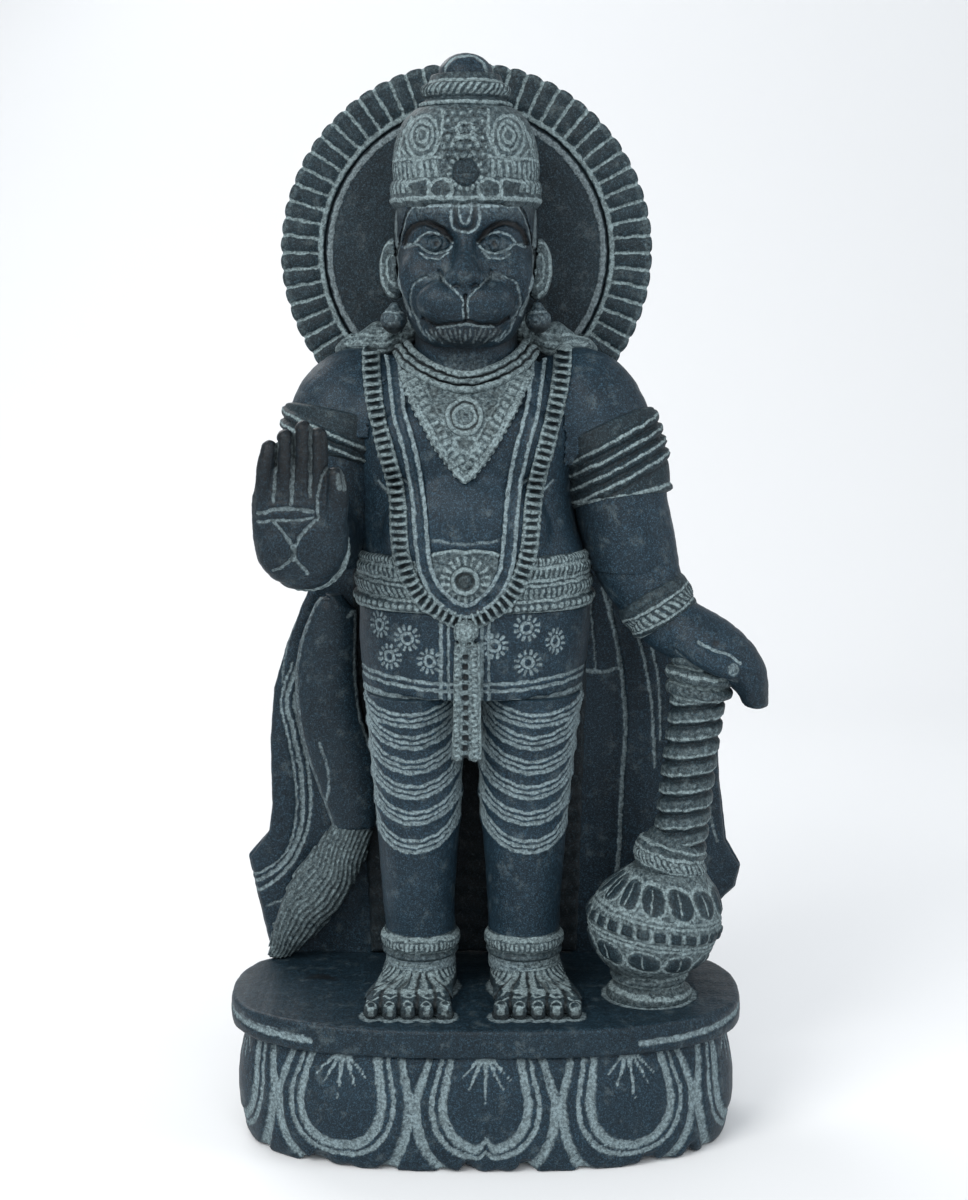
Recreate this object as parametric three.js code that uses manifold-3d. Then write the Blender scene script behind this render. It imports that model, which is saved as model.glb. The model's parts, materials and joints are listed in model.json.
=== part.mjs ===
import * as THREE from "three";
import { mergeVertices } from "three/addons/utils/BufferGeometryUtils.js";
import Module from "manifold-3d";

// Standing stone figure of a monkey-faced deity on a lotus base, in millimetres.
// +Z is up, the figure faces -Y, and the origin is the middle of the base's underside.
// Right and left are the figure's own sides, so "right" parts lie on the -X side.

const wasm = await Module();
wasm.setup();
const { Manifold } = wasm;

// ---- Driving dimensions ----
const totalHeight = 610;
const gap = 0.3;

const plinthTop = 83;
const plinthBottom = 66.3;
const plinthHalfWidth = 147;
const baseTop = 66;
const baseHalfWidth = 141;
const baseFront = -79;
const baseBack = 79;
const petalCount = 9;

const figureX = -11;
const slabFront = 52;
const slabBack = 74;
const slabTop = 421;

const haloX = -11;
const haloZ = 503;
const haloRadius = totalHeight - haloZ;
const haloDiscRadius = 81;
const haloFluteCount = 66;

const hemZ = 257;
const beltBottom = 308;
const beltTop = 338;
const neckBottom = 443;
const crownBottom = 528;

// ---- Stone colours ----
function stone(colour, roughness) {
  return new THREE.MeshStandardMaterial({ color: colour, roughness, metalness: 0 });
}
const darkStone = stone(0x3d4a52, 0.55);
const bodyStone = stone(0x46545c, 0.5);
const carvedStone = stone(0x7d8a88, 0.8);
const deepStone = stone(0x333d43, 0.65);

// ---- Helpers ----
function toSolid(geometry) {
  const bare = geometry.clone();
  bare.deleteAttribute("normal");
  bare.deleteAttribute("uv");
  const merged = mergeVertices(bare, 1e-4);
  const index = merged.index.array;
  const triangles = [];
  for (let i = 0; i < index.length; i += 3) {
    const [a, b, c] = [index[i], index[i + 1], index[i + 2]];
    if (a !== b && b !== c && a !== c) {
      triangles.push(a, b, c);
    }
  }
  return new Manifold(new wasm.Mesh({
    numProp: 3,
    vertProperties: new Float32Array(merged.attributes.position.array),
    triVerts: new Uint32Array(triangles),
  }));
}

function biggestPiece(solid) {
  const pieces = solid.decompose();
  pieces.sort((a, b) => b.volume() - a.volume());
  return pieces[0];
}

function superRadius(angle, power) {
  const across = Math.abs(Math.cos(angle)) ** power;
  const along = Math.abs(Math.sin(angle)) ** power;
  return (across + along) ** (-1 / power);
}

// A closed body with oval cross-sections stacked up Z.
// Each section is [z, centreX, centreY, halfWidth, halfDepth].
function ovalStack(sections, options = {}) {
  const { around = 24, power = 2, grow = 0, relief = null } = options;
  const rows = sections.length - 1;
  const geometry = new THREE.CylinderGeometry(1, 1, 1, around, rows);
  geometry.rotateX(Math.PI / 2);
  const position = geometry.attributes.position;
  for (let i = 0; i < position.count; i++) {
    const row = Math.round((position.getZ(i) + 0.5) * rows);
    const [z, centreX, centreY, halfWidth, halfDepth] = sections[row];
    const x = position.getX(i);
    const y = position.getY(i);
    const angle = Math.atan2(y, x);
    const onRim = Math.hypot(x, y) > 0.5 ? superRadius(angle, power) : 0;
    const bump = relief ? relief(angle, z) : 0;
    const end = row === 0 ? -grow : row === rows ? grow : 0;
    position.setXYZ(
      i,
      centreX + onRim * (halfWidth + grow + bump) * Math.cos(angle),
      centreY + onRim * (halfDepth + grow + bump) * Math.sin(angle),
      z + end,
    );
  }
  return toSolid(geometry);
}

function readStation(stations, t) {
  const spot = t * (stations.length - 1);
  const low = Math.min(Math.floor(spot), stations.length - 2);
  const share = spot - low;
  return [3, 4].map((k) => stations[low][k] * (1 - share) + stations[low + 1][k] * share);
}

// A closed body swept along a smooth path.
// Each station is [x, y, z, halfWidth, halfDepth]; halfWidth lies across, seen from the front.
function limb(stations, options = {}) {
  const { around = 16, rows = stations.length * 2, grow = 0, relief = null } = options;
  const { across = new THREE.Vector3(0, 1, 0), power = 2 } = options;
  const path = new THREE.CatmullRomCurve3(stations.map((s) => new THREE.Vector3(s[0], s[1], s[2])));
  const geometry = new THREE.CylinderGeometry(1, 1, 1, around, rows);
  geometry.rotateX(Math.PI / 2);
  const position = geometry.attributes.position;
  for (let i = 0; i < position.count; i++) {
    const row = Math.round((position.getZ(i) + 0.5) * rows);
    const t = row / rows;
    const centre = path.getPoint(t);
    const forward = path.getTangent(t);
    const side = new THREE.Vector3().crossVectors(across, forward).normalize();
    const front = new THREE.Vector3().crossVectors(forward, side).normalize();
    const [halfWidth, halfDepth] = readStation(stations, t);
    const x = position.getX(i);
    const y = position.getY(i);
    const angle = Math.atan2(y, x);
    const onRim = Math.hypot(x, y) > 0.5 ? superRadius(angle, power) : 0;
    const bump = relief ? relief(angle, t) : 0;
    centre.addScaledVector(side, onRim * (halfWidth + grow + bump) * Math.cos(angle));
    centre.addScaledVector(front, onRim * (halfDepth + grow + bump) * Math.sin(angle));
    const end = row === 0 ? -grow : row === rows ? grow : 0;
    centre.addScaledVector(forward, end);
    position.setXYZ(i, centre.x, centre.y, centre.z);
  }
  return toSolid(geometry);
}

// A plate standing in the XZ plane: outline points are [x, z], from frontY back to backY.
function plate(outline, frontY, backY, options = {}) {
  const { grow = 0, chamfer = 2 } = options;
  const shape = new THREE.Shape(outline.map(([x, z]) => new THREE.Vector2(x, z)));
  const geometry = new THREE.ExtrudeGeometry(shape, {
    depth: backY - frontY - 2 * chamfer + 2 * grow,
    bevelEnabled: chamfer > 0 || grow > 0,
    bevelThickness: chamfer,
    bevelSize: chamfer,
    bevelOffset: grow - chamfer,
    bevelSegments: 1,
    curveSegments: 24,
  });
  geometry.rotateX(Math.PI / 2);
  geometry.translate(0, backY + grow - chamfer, 0);
  return toSolid(geometry);
}

function smoothOutline(points, count) {
  const curve = new THREE.CatmullRomCurve3(points.map(([x, z]) => new THREE.Vector3(x, 0, z)));
  return curve.getPoints(count).map((p) => [p.x, p.z]);
}

function circleOutline(centreX, centreZ, radius, count) {
  const points = [];
  for (let i = 0; i < count; i++) {
    const angle = (2 * Math.PI * i) / count;
    points.push([centreX + radius * Math.cos(angle), centreZ + radius * Math.sin(angle)]);
  }
  return points;
}

function ball(x, y, z, radius, grow = 0) {
  const geometry = new THREE.SphereGeometry(radius + grow, 12, 7);
  geometry.translate(x, y, z);
  return toSolid(geometry);
}

function box(minX, maxX, minY, maxY, minZ, maxZ) {
  const geometry = new THREE.BoxGeometry(maxX - minX, maxY - minY, maxZ - minZ);
  geometry.translate((minX + maxX) / 2, (minY + maxY) / 2, (minZ + maxZ) / 2);
  return toSolid(geometry);
}

// ---- Base ----
function lotusBase(grow = 0) {
  const petal = (angle, z) => {
    const turn = ((angle + Math.PI / 2) * petalCount) / (2 * Math.PI);
    const offCentre = Math.abs(turn - Math.round(turn)) * 2;
    const belly = Math.max(0, 1 - offCentre ** 2) * Math.sin((Math.PI * Math.min(z, 60)) / 60);
    return 4 * belly - 3 * offCentre ** 8;
  };
  const sections = [
    [0, 0, 0, baseHalfWidth - 6, 72],
    [6, 0, 0, baseHalfWidth - 3, 74],
    [17, 0, 0, baseHalfWidth - 1, 75],
    [32, 0, 0, baseHalfWidth - 1, 75],
    [48, 0, 0, baseHalfWidth - 2, 74],
    [baseTop, 0, 0, baseHalfWidth - 3, 73],
  ];
  return ovalStack(sections, { around: 64, power: 2.6, relief: petal, grow: Math.min(grow, 0.1) });
}

function plinthSlab(grow = 0) {
  const sections = [
    [plinthBottom, 0, 0, plinthHalfWidth - 2, baseBack - 2],
    [plinthBottom + 3, 0, 0, plinthHalfWidth, baseBack],
    [plinthTop - 3, 0, 0, plinthHalfWidth, baseBack],
    [plinthTop, 0, 0, plinthHalfWidth - 2, baseBack - 2],
  ];
  return ovalStack(sections, { around: 48, power: 2.6, grow });
}

// ---- Back slab, falls of cloth and tail ----
function backSlab(grow = 0) {
  const outline = [
    [-70, plinthTop + gap],
    [56, plinthTop + gap],
    [62, 300],
    [50, slabTop],
    [-72, slabTop],
    [-80, 300],
  ];
  return plate(outline, slabFront, slabBack, { grow, chamfer: 1.5 });
}

function rightFall(grow = 0) {
  const edge = [
    [-106, 303], [-118, 274], [-127, 246], [-129.5, 215], [-128.5, 175], [-131, 158],
    [-145, 142], [-141, 122], [-136, 100], [-131, plinthTop + gap],
  ];
  const outline = [[-66, 312], ...smoothOutline(edge, 18), [-66, plinthTop + gap]];
  return plate(outline.reverse(), slabFront + 3, slabBack - 2, { grow, chamfer: 3 });
}

function leftFall(grow = 0) {
  const edge = [
    [112, 303], [128, 277], [139, 240], [142, 190], [147, 152], [156, 136], [153, 122],
    [143, 113], [130, 104], [121, plinthTop + gap],
  ];
  const outline = [[46, 312], ...smoothOutline(edge, 18), [46, plinthTop + gap]];
  return plate(outline, slabFront + 3, slabBack - 2, { grow, chamfer: 3 });
}

function tail(grow = 0) {
  const stations = [
    [-88, 43, 296, 13, 8],
    [-94, 43, 265, 18, 10],
    [-92, 43, 230, 19, 11],
    [-82, 43, 195, 19, 11],
    [-78, 43, 168, 14, 11],
  ];
  return limb(stations, { rows: 7, around: 14, grow });
}

function tailTuft(grow = 0) {
  const strands = (angle, t) => 1.2 * Math.cos(angle * 6 + t * 2);
  const stations = [
    [-78.5, 43, 167.4, 12, 10],
    [-86, 42, 150, 14, 11],
    [-100, 42, 128, 17, 12],
    [-113, 43, 107, 14, 11],
    [-124, 46, 88, 9, 8],
  ];
  return limb(stations, { rows: 6, around: 18, relief: strands, grow });
}

// ---- Halo ----
function haloDisc(grow = 0) {
  const outline = circleOutline(haloX, haloZ, haloDiscRadius, 48);
  return plate(outline, 47, 62, { grow, chamfer: 1 });
}

function haloRim(grow = 0) {
  const inner = haloDiscRadius + 2 * gap;
  const lowest = THREE.MathUtils.degToRad(-42);
  const sweep = Math.PI - 2 * lowest;
  const outline = [];
  for (let i = 0; i <= 40; i++) {
    const angle = lowest + (sweep * i) / 40;
    outline.push([haloX + inner * Math.cos(angle), haloZ + inner * Math.sin(angle)]);
  }
  const notches = haloFluteCount * 2;
  for (let i = notches; i >= 0; i--) {
    const angle = lowest + (sweep * i) / notches;
    const radius = haloRadius - (i % 2 === 0 ? 2.2 : 0);
    outline.push([haloX + radius * Math.cos(angle), haloZ + radius * Math.sin(angle)]);
  }
  return plate(outline.reverse(), 44, 62, { grow, chamfer: 0 });
}

// ---- Legs and feet ----
function leg(sections, centreX, grow) {
  const round = ovalStack(sections, { around: 18, grow });
  const web = box(centreX - 13 - grow, centreX + 13 + grow, 10, slabFront + 1, 100, hemZ - gap + grow);
  return round.add(web);
}

function rightLeg(grow = 0) {
  const sections = [
    [120, -37.5, -6, 20, 23],
    [135, -38.5, -6, 20.5, 25],
    [165, -38.5, -6, 22.5, 28],
    [195, -38.5, -6, 24.5, 30],
    [228, -40, -5, 26, 33],
    [hemZ - gap, -41.5, -4, 26.5, 36],
  ];
  return leg(sections, -38, grow);
}

function leftLeg(grow = 0) {
  const sections = [
    [120, 22, -6, 20.5, 23],
    [135, 22, -6, 21, 25],
    [165, 22, -6, 23, 28],
    [195, 22, -6, 25.5, 30],
    [228, 24, -5, 27, 33],
    [hemZ - gap, 26.5, -4, 28, 36],
  ];
  return leg(sections, 24, grow);
}

function anklet(centreX, grow) {
  const sections = [
    [105.6, centreX, -6, 21, 23.5],
    [108, centreX, -6, 22.5, 25],
    [111, centreX, -6, 21.5, 24],
    [113, centreX, -6, 23.5, 26],
    [117, centreX, -6, 23.5, 26],
    [119.7, centreX, -6, 21, 23.5],
  ];
  return ovalStack(sections, { around: 18, grow });
}

const rightAnklet = (grow = 0) => anklet(-37.5, grow);
const leftAnklet = (grow = 0) => anklet(22, grow);

function foot(centreX, outward, grow) {
  const stations = [
    [centreX, 16, 94, 15, 11],
    [centreX, 0, 95, 20, 14],
    [centreX + outward, -22, 93, 23, 13],
    [centreX + 2 * outward, -44, 89, 27, 8],
    [centreX + 2 * outward, -57, 87, 25, 5],
  ];
  const along = new THREE.Vector3(0, 0, 1);
  const whole = limb(stations, { rows: 6, around: 16, across: along, grow });
  const ankle = ovalStack([[90, centreX, -6, 20, 22], [105.3, centreX, -6, 20, 22.5]], { around: 18, grow });
  const ground = box(-200, 200, -100, 100, 0, plinthTop + gap - grow);
  return whole.add(ankle).subtract(ground);
}

function toeGaps(centreX) {
  let gaps = null;
  for (const step of [-1.5, -0.5, 0.5, 1.5]) {
    const x = centreX + step * 10.5;
    const slot = box(x - 0.8, x + 0.8, -70, -46, plinthTop + 3, plinthTop + 20);
    gaps = gaps ? gaps.add(slot) : slot;
  }
  return gaps;
}

const rightFoot = (grow = 0) => foot(-38, -2.5, grow).subtract(toeGaps(-43));
const leftFoot = (grow = 0) => foot(22, 3.5, grow).subtract(toeGaps(29));

// ---- Trunk ----
const torsoSections = [
  [beltTop + gap, -7.5, 2, 63, 50],
  [352, -10, 3, 61, 49],
  [368, -11, 5, 60, 47],
  [386, -12, 6, 62, 47],
  [402, -11, 6, 64, 46],
  [416, -11, 7, 64, 43],
  [427, -11, 9, 58, 38],
  [436, -11, 11, 47, 31],
  [neckBottom, -11, 12, 35, 24],
];

const hipSections = [
  [hemZ, -7.5, 3, 62.5, 45],
  [270, -7, 3, 63.5, 47],
  [290, -6.5, 2, 65, 49],
  [beltBottom - gap, -6, 2, 65, 50],
];

const beltSections = [
  [beltBottom, -6.5, 2, 66, 51],
  [312, -6.5, 2, 68.5, 53.5],
  [317, -6.5, 2, 66.5, 51.5],
  [323, -7, 2, 68, 53],
  [329, -7, 2, 66, 51.5],
  [334, -7.5, 2, 67.5, 53],
  [beltTop, -7.5, 2, 64.5, 50.5],
];

function torso(grow = 0) {
  return ovalStack(torsoSections, { around: 24, power: 2.3, grow });
}

function hipCloth(grow = 0) {
  return ovalStack(hipSections, { around: 24, power: 2.3, grow });
}

function waistBelt(grow = 0) {
  return ovalStack(beltSections, { around: 24, power: 2.3, grow });
}

// Y of the trunk's front surface at a point seen from the front.
function trunkFront(x, z) {
  const sections = [...hipSections, ...beltSections, ...torsoSections];
  let low = sections[0];
  let high = sections[sections.length - 1];
  for (const section of sections) {
    if (section[0] <= z) low = section;
    if (section[0] >= z && section[0] < high[0]) high = section;
  }
  const share = high[0] > low[0] ? (z - low[0]) / (high[0] - low[0]) : 0;
  const [, centreX, centreY, halfWidth, halfDepth] = low.map((v, k) => v + (high[k] - v) * share);
  const off = Math.min(Math.abs((x - centreX) / halfWidth), 0.98);
  return centreY - halfDepth * (1 - off ** 2.3) ** (1 / 2.3);
}

// ---- Neck, head and crown ----
function neck(grow = 0) {
  const sections = [
    [430, figureX, 8, 34, 27],
    [438, figureX, 6, 31, 27],
    [446, figureX, 5, 29, 27],
    [458, figureX, 6, 28, 28],
  ];
  return ovalStack(sections, { around: 18, grow });
}

function head(grow = 0) {
  const sections = [
    [451, figureX, -8, 18, 27],
    [456, figureX, -5, 26, 36],
    [466, figureX, -1, 32, 42],
    [481, figureX, 1, 36, 41],
    [500, figureX, 3, 39, 41],
    [516, figureX, 4, 39.5, 41],
    [crownBottom - gap, figureX, 4, 38.5, 40],
  ];
  const skull = ovalStack(sections, { around: 24, grow });
  const muzzle = ball(0, 0, 0, 1).scale([21 + grow, 13 + grow, 13 + grow]);
  const nose = ball(0, 0, 0, 1).scale([11 + grow, 8 + grow, 9 + grow]);
  return skull
    .add(muzzle.translate([figureX, -41, 471]))
    .add(nose.translate([figureX, -45, 488]));
}

function ear(x, grow) {
  const lobe = ball(0, 0, 0, 1).scale([7 + grow, 11 + grow, 17 + grow]);
  return lobe.translate([x, 4, 493]);
}

const rightEar = (grow = 0) => ear(-51.5, grow);
const leftEar = (grow = 0) => ear(29.5, grow);
const rightPendant = (grow = 0) => ball(-51, -2, 465, 7.5, grow);
const leftPendant = (grow = 0) => ball(29, -2, 465, 7.5, grow);

function hairLock(sign, grow) {
  const stations = [
    [figureX + sign * 33, 22, 462, 9, 12],
    [figureX + sign * 46, 18, 455, 10, 12],
    [figureX + sign * 60, 18, 450, 8, 11],
    [figureX + sign * 70, 20, 449, 4, 7],
  ];
  return limb(stations, { rows: 6, around: 16, grow });
}

const rightHairLock = (grow = 0) => hairLock(-1, grow);
const leftHairLock = (grow = 0) => hairLock(1, grow);

function crownBand(grow = 0) {
  const sections = [
    [crownBottom, figureX, 3, 41, 43],
    [531, figureX, 3, 42, 44],
    [537, figureX, 3, 42, 44],
    [540, figureX, 3, 40.5, 42],
  ];
  return ovalStack(sections, { around: 24, grow });
}

function crownDome(grow = 0) {
  const sections = [
    [540.3, figureX, 3, 40, 41],
    [550, figureX, 3, 40.5, 41],
    [562, figureX, 3, 38.5, 38],
    [572, figureX, 3, 34.5, 33],
    [579, figureX, 3, 27, 26],
  ];
  return ovalStack(sections, { around: 32, grow });
}

function crownRing(grow = 0) {
  const sections = [
    [579.3, figureX, 3, 24, 24],
    [583, figureX, 3, 24.5, 24.5],
    [586, figureX, 3, 22, 22],
    [589, figureX, 3, 23.5, 23.5],
    [594, figureX, 3, 23.5, 23.5],
    [597, figureX, 3, 20, 20],
  ];
  return ovalStack(sections, { around: 18, grow });
}

function crownFinial(grow = 0) {
  const sections = [
    [597.3, figureX, 3, 15, 15],
    [602, figureX, 3, 14, 14],
    [606, figureX, 3, 10, 10],
    [totalHeight - 1, figureX, 3, 4, 4],
  ];
  return ovalStack(sections, { around: 18, grow });
}

// ---- Right arm, raised with the palm forward ----
function rightShoulder(grow = 0) {
  const stations = [
    [-64, 13, 434, 12, 14],
    [-71, 12, 428, 22, 22],
    [-77, 10, 416, 30, 29],
    [-82, 8, 400, 31, 31],
  ];
  return limb(stations, { rows: 5, around: 18, grow });
}

function rightUpperArm(grow = 0) {
  const stations = [
    [-85, 6, 390, 29, 30],
    [-88, 2, 360, 27, 28],
    [-90, -2, 336, 22, 24],
  ];
  return limb(stations, { rows: 4, around: 18, grow });
}

function rightForearm(grow = 0) {
  const stations = [
    [-90, -4, 349, 22, 22],
    [-92, -30, 347, 20, 20],
    [-95, -53, 347, 18, 17],
  ];
  const upward = new THREE.Vector3(0, 0, 1);
  return limb(stations, { rows: 3, around: 18, across: upward, grow });
}

function rightBangle(grow = 0) {
  const disc = ovalStack(
    [[-4, 0, 0, 22, 22], [-2.5, 0, 0, 24, 24], [2.5, 0, 0, 24, 24], [4, 0, 0, 22, 22]],
    { around: 18, grow },
  );
  return disc.rotate([90, 0, 0]).translate([-95.5, -58.5, 344.5]);
}

function rightHand(grow = 0) {
  const palm = [
    [-95, -72, 331, 11, 6],
    [-96, -72, 338, 19, 9],
    [-97, -74, 350, 24, 11],
    [-98, -76, 368, 24.5, 10],
    [-98, -79, 386, 20, 7],
  ];
  let hand = limb(palm, { rows: 6, around: 16, grow });
  const tips = [403, 413, 414, 406];
  tips.forEach((tip, i) => {
    const x = -112.5 + i * 9.6;
    const finger = [
      [x + 2, -78, 374, 5, 5],
      [x, -80, 392, 5.2, 5.2],
      [x, -81, tip - 4, 4.8, 4.8],
      [x, -81, tip, 2.4, 2.4],
    ];
    hand = hand.add(limb(finger, { rows: 3, around: 8, grow }));
  });
  const thumb = [
    [-84, -76, 350, 7, 6],
    [-77, -80, 366, 5.5, 5.5],
    [-75, -81, 384, 4.5, 4.5],
    [-76, -81, 391, 2.5, 2.5],
  ];
  return hand.add(limb(thumb, { rows: 3, around: 8, grow }));
}

function armlet(stations, grow = 0) {
  const ridges = (angle, t) => Math.cos(t * Math.PI * 6);
  return limb(stations, { rows: 6, around: 18, relief: ridges, grow });
}

const rightArmlet = (grow = 0) => armlet([
  [-80, 9, 411, 34.5, 33.5], [-82.5, 7.5, 399, 34, 33.5], [-84.5, 6, 388, 32.5, 32.5]], grow);

// ---- Left arm, lowered onto the mace ----
function leftShoulder(grow = 0) {
  const stations = [
    [45, 13, 434, 12, 14],
    [52, 12, 428, 22, 22],
    [58, 10, 416, 30, 29],
    [66, 8, 396, 31, 31],
  ];
  return limb(stations, { rows: 5, around: 18, grow });
}

function leftUpperArm(grow = 0) {
  const stations = [
    [73, 4, 380, 27.5, 29],
    [76, 1, 362, 26, 28],
    [82, -3, 338, 25.5, 26],
  ];
  return limb(stations, { rows: 4, around: 18, grow });
}

const leftArmlet = (grow = 0) => armlet([
  [65, 8, 402, 34, 33.5], [72, 5, 386, 31.5, 32.5], [75.5, 2, 368, 29.5, 30.5]], grow);

function leftForearm(grow = 0) {
  const stations = [
    [82, -3, 337.7, 25.3, 25.5],
    [88, -8, 324, 22, 22],
    [95, -14, 310, 18, 18],
  ];
  return limb(stations, { rows: 3, around: 18, grow });
}

function leftBangle(grow = 0) {
  const stations = [
    [93.5, -13, 312, 20, 20],
    [97, -16, 305.5, 21.5, 21.5],
    [100, -18, 300, 20, 20],
  ];
  return limb(stations, { rows: 4, around: 18, grow });
}

function leftHand(grow = 0) {
  const palm = [
    [99, -17, 301, 16, 16],
    [112, -22, 293, 17, 18],
    [127, -25, 285, 15, 20],
    [141, -25, 275, 12, 20],
    [148, -24, 258, 7, 16],
  ];
  const thumb = [
    [112, -34, 290, 8, 8],
    [122, -42, 281, 7, 7],
    [134, -44, 276, 5, 5],
    [139, -43, 272, 2.5, 2.5],
  ];
  const body = limb(palm, { rows: 7, around: 16, grow });
  return body.add(limb(thumb, { rows: 4, around: 10, grow }));
}

// ---- Mace ----
function maceShaft(grow = 0) {
  const twist = (angle, t) => 1.3 * Math.cos(angle + t * Math.PI * 10);
  const stations = [
    [110, -18, 173, 15, 15],
    [114, -20, 215, 15.5, 15.5],
    [118, -21, 251, 15.5, 15.5],
    [121, -22, 282, 16, 16],
  ];
  return limb(stations, { rows: 20, around: 10, relief: twist, grow });
}

function maceCollar(grow = 0) {
  const stations = [
    [103, -18, 158, 18, 18],
    [105, -18, 163, 22, 22],
    [107, -18, 168, 21, 21],
    [109.5, -18, 172.7, 17, 17],
  ];
  return limb(stations, { rows: 4, around: 18, grow });
}

function maceBulb(grow = 0) {
  const sections = [
    [100, 94, -18, 24, 24],
    [108, 95, -18, 32, 32],
    [118, 95.5, -18, 36, 36],
    [126, 96, -18, 38.5, 38.5],
    [132, 96, -18, 38.5, 38.5],
    [142, 97.5, -18, 35, 35],
    [151, 100, -18, 28, 28],
    [158, 102.5, -18, 20, 20],
  ];
  return ovalStack(sections, { around: 18, grow });
}

function maceFoot(grow = 0) {
  const sections = [
    [plinthTop + gap, 93.5, -18, 23.5, 23.5],
    [87, 93.5, -18, 24.5, 24.5],
    [90, 93.5, -18, 20.5, 20.5],
    [95, 93.5, -18, 20.5, 20.5],
    [99.7, 94, -18, 23, 23],
  ];
  return ovalStack(sections, { around: 18, grow });
}

// ---- Ornaments lying on the trunk ----
function draped(points, halfWidth, thickness, grow = 0) {
  const stations = points.map(([x, z]) => [x, trunkFront(x, z) - 1, z, halfWidth, thickness]);
  const path = new THREE.CatmullRomCurve3(stations.map((s) => new THREE.Vector3(s[0], s[1], s[2])));
  const count = 15;
  const fine = [];
  for (let i = 0; i <= count; i++) {
    const spot = path.getPoint(i / count);
    fine.push([spot.x, Math.min(trunkFront(spot.x, spot.z) - 1, spot.y), spot.z, halfWidth, thickness]);
  }
  return limb(fine, { rows: count, around: 6, power: 2, grow });
}

function beadGarland(grow = 0) {
  const points = [
    [-63, 437], [-60, 417], [-54, 396], [-48, 369], [-46, 340], [-38, 318], [-11, 303],
    [15, 318], [23, 340], [26, 369], [32, 396], [38, 417], [42, 437],
  ];
  return draped(points, 4.5, 5, grow);
}

function smoothBand(grow = 0) {
  const points = [
    [-49, 437], [-46, 417], [-40, 396], [-36, 369], [-34, 340], [-28, 324], [-11, 312],
    [6, 324], [12, 340], [15, 369], [18, 396], [25, 417], [29, 437],
  ];
  return draped(points, 4, 4.2, grow);
}

function collarNecklace(grow = 0) {
  const stations = [
    [-47, 2, 447, 4, 6], [-41, -14, 441, 5, 6], [-28, -26, 434, 5.5, 6], [figureX, -33, 430, 5.5, 6],
    [6, -26, 434, 5.5, 6], [19, -14, 441, 5, 6], [25, 2, 447, 4, 6],
  ];
  return limb(stations, { rows: 12, around: 8, grow });
}

function chestPendant(grow = 0) {
  const medallion = plate(circleOutline(figureX, 414, 11, 28), -46, -34, { grow, chamfer: 1.5 });
  const dropOutline = [[-2.5, 404], [-5, 396], [-7, 392], [-11, 386], [-15, 392], [-17, 396], [-19.5, 404]];
  const drop = plate(dropOutline.reverse(), -46, -34, { grow, chamfer: 1 });
  return medallion.add(drop);
}

function beltMedallion(grow = 0) {
  return plate(circleOutline(figureX, 326, 10.5, 28), -60, -40, { grow, chamfer: 2 });
}

function frontSash(grow = 0) {
  const outline = [[-19, 226], [-1, 226], [-2, 250], [-3, 296], [-19, 296], [-20, 250]];
  const strip = plate(outline, -54, -36, { grow, chamfer: 2 });
  return strip.add(ball(figureX, -50, 299, 7, grow));
}

// ---- Assembly ----
// Order matters: a part listed earlier keeps its shape, and later parts are cut back around it.
const parts = [
  ["lotus_base", lotusBase, bodyStone],
  ["plinth_slab", plinthSlab, darkStone],
  ["back_slab", backSlab, deepStone],
  ["halo_disc", haloDisc, deepStone],
  ["halo_rim", haloRim, carvedStone],
  ["waist_belt", waistBelt, carvedStone],
  ["hip_cloth", hipCloth, bodyStone],
  ["torso", torso, bodyStone],
  ["neck", neck, bodyStone],
  ["head", head, darkStone],
  ["right_ear", rightEar, carvedStone],
  ["left_ear", leftEar, carvedStone],
  ["right_ear_pendant", rightPendant, darkStone],
  ["left_ear_pendant", leftPendant, darkStone],
  ["crown_band", crownBand, carvedStone],
  ["crown_dome", crownDome, carvedStone],
  ["crown_ring", crownRing, carvedStone],
  ["crown_finial", crownFinial, bodyStone],
  ["right_anklet", rightAnklet, carvedStone],
  ["left_anklet", leftAnklet, carvedStone],
  ["right_leg", rightLeg, bodyStone],
  ["left_leg", leftLeg, bodyStone],
  ["right_foot", rightFoot, carvedStone],
  ["left_foot", leftFoot, carvedStone],
  ["right_armlet", rightArmlet, carvedStone],
  ["right_shoulder", rightShoulder, bodyStone],
  ["right_upper_arm", rightUpperArm, bodyStone],
  ["right_bangle", rightBangle, carvedStone],
  ["right_forearm", rightForearm, bodyStone],
  ["right_hand", rightHand, darkStone],
  ["left_armlet", leftArmlet, carvedStone],
  ["left_shoulder", leftShoulder, bodyStone],
  ["left_upper_arm", leftUpperArm, bodyStone],
  ["left_bangle", leftBangle, carvedStone],
  ["left_forearm", leftForearm, bodyStone],
  ["left_hand", leftHand, bodyStone],
  ["mace_shaft", maceShaft, carvedStone],
  ["mace_collar", maceCollar, carvedStone],
  ["mace_bulb", maceBulb, carvedStone],
  ["mace_foot", maceFoot, carvedStone],
  ["tail", tail, darkStone],
  ["tail_tuft", tailTuft, carvedStone],
  ["right_fall", rightFall, bodyStone],
  ["left_fall", leftFall, bodyStone],
  ["right_hair_lock", rightHairLock, carvedStone],
  ["left_hair_lock", leftHairLock, carvedStone],
  ["collar_necklace", collarNecklace, carvedStone],
  ["chest_pendant", chestPendant, carvedStone],
  ["front_sash", frontSash, carvedStone],
  ["bead_garland", beadGarland, carvedStone],
  ["smooth_band", smoothBand, bodyStone],
  ["belt_medallion", beltMedallion, carvedStone],
];

function boxesMeet(a, b) {
  const [boxA, boxB] = [a.boundingBox(), b.boundingBox()];
  return [0, 1, 2].every((k) => boxA.min[k] < boxB.max[k] && boxB.min[k] < boxA.max[k]);
}

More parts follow.
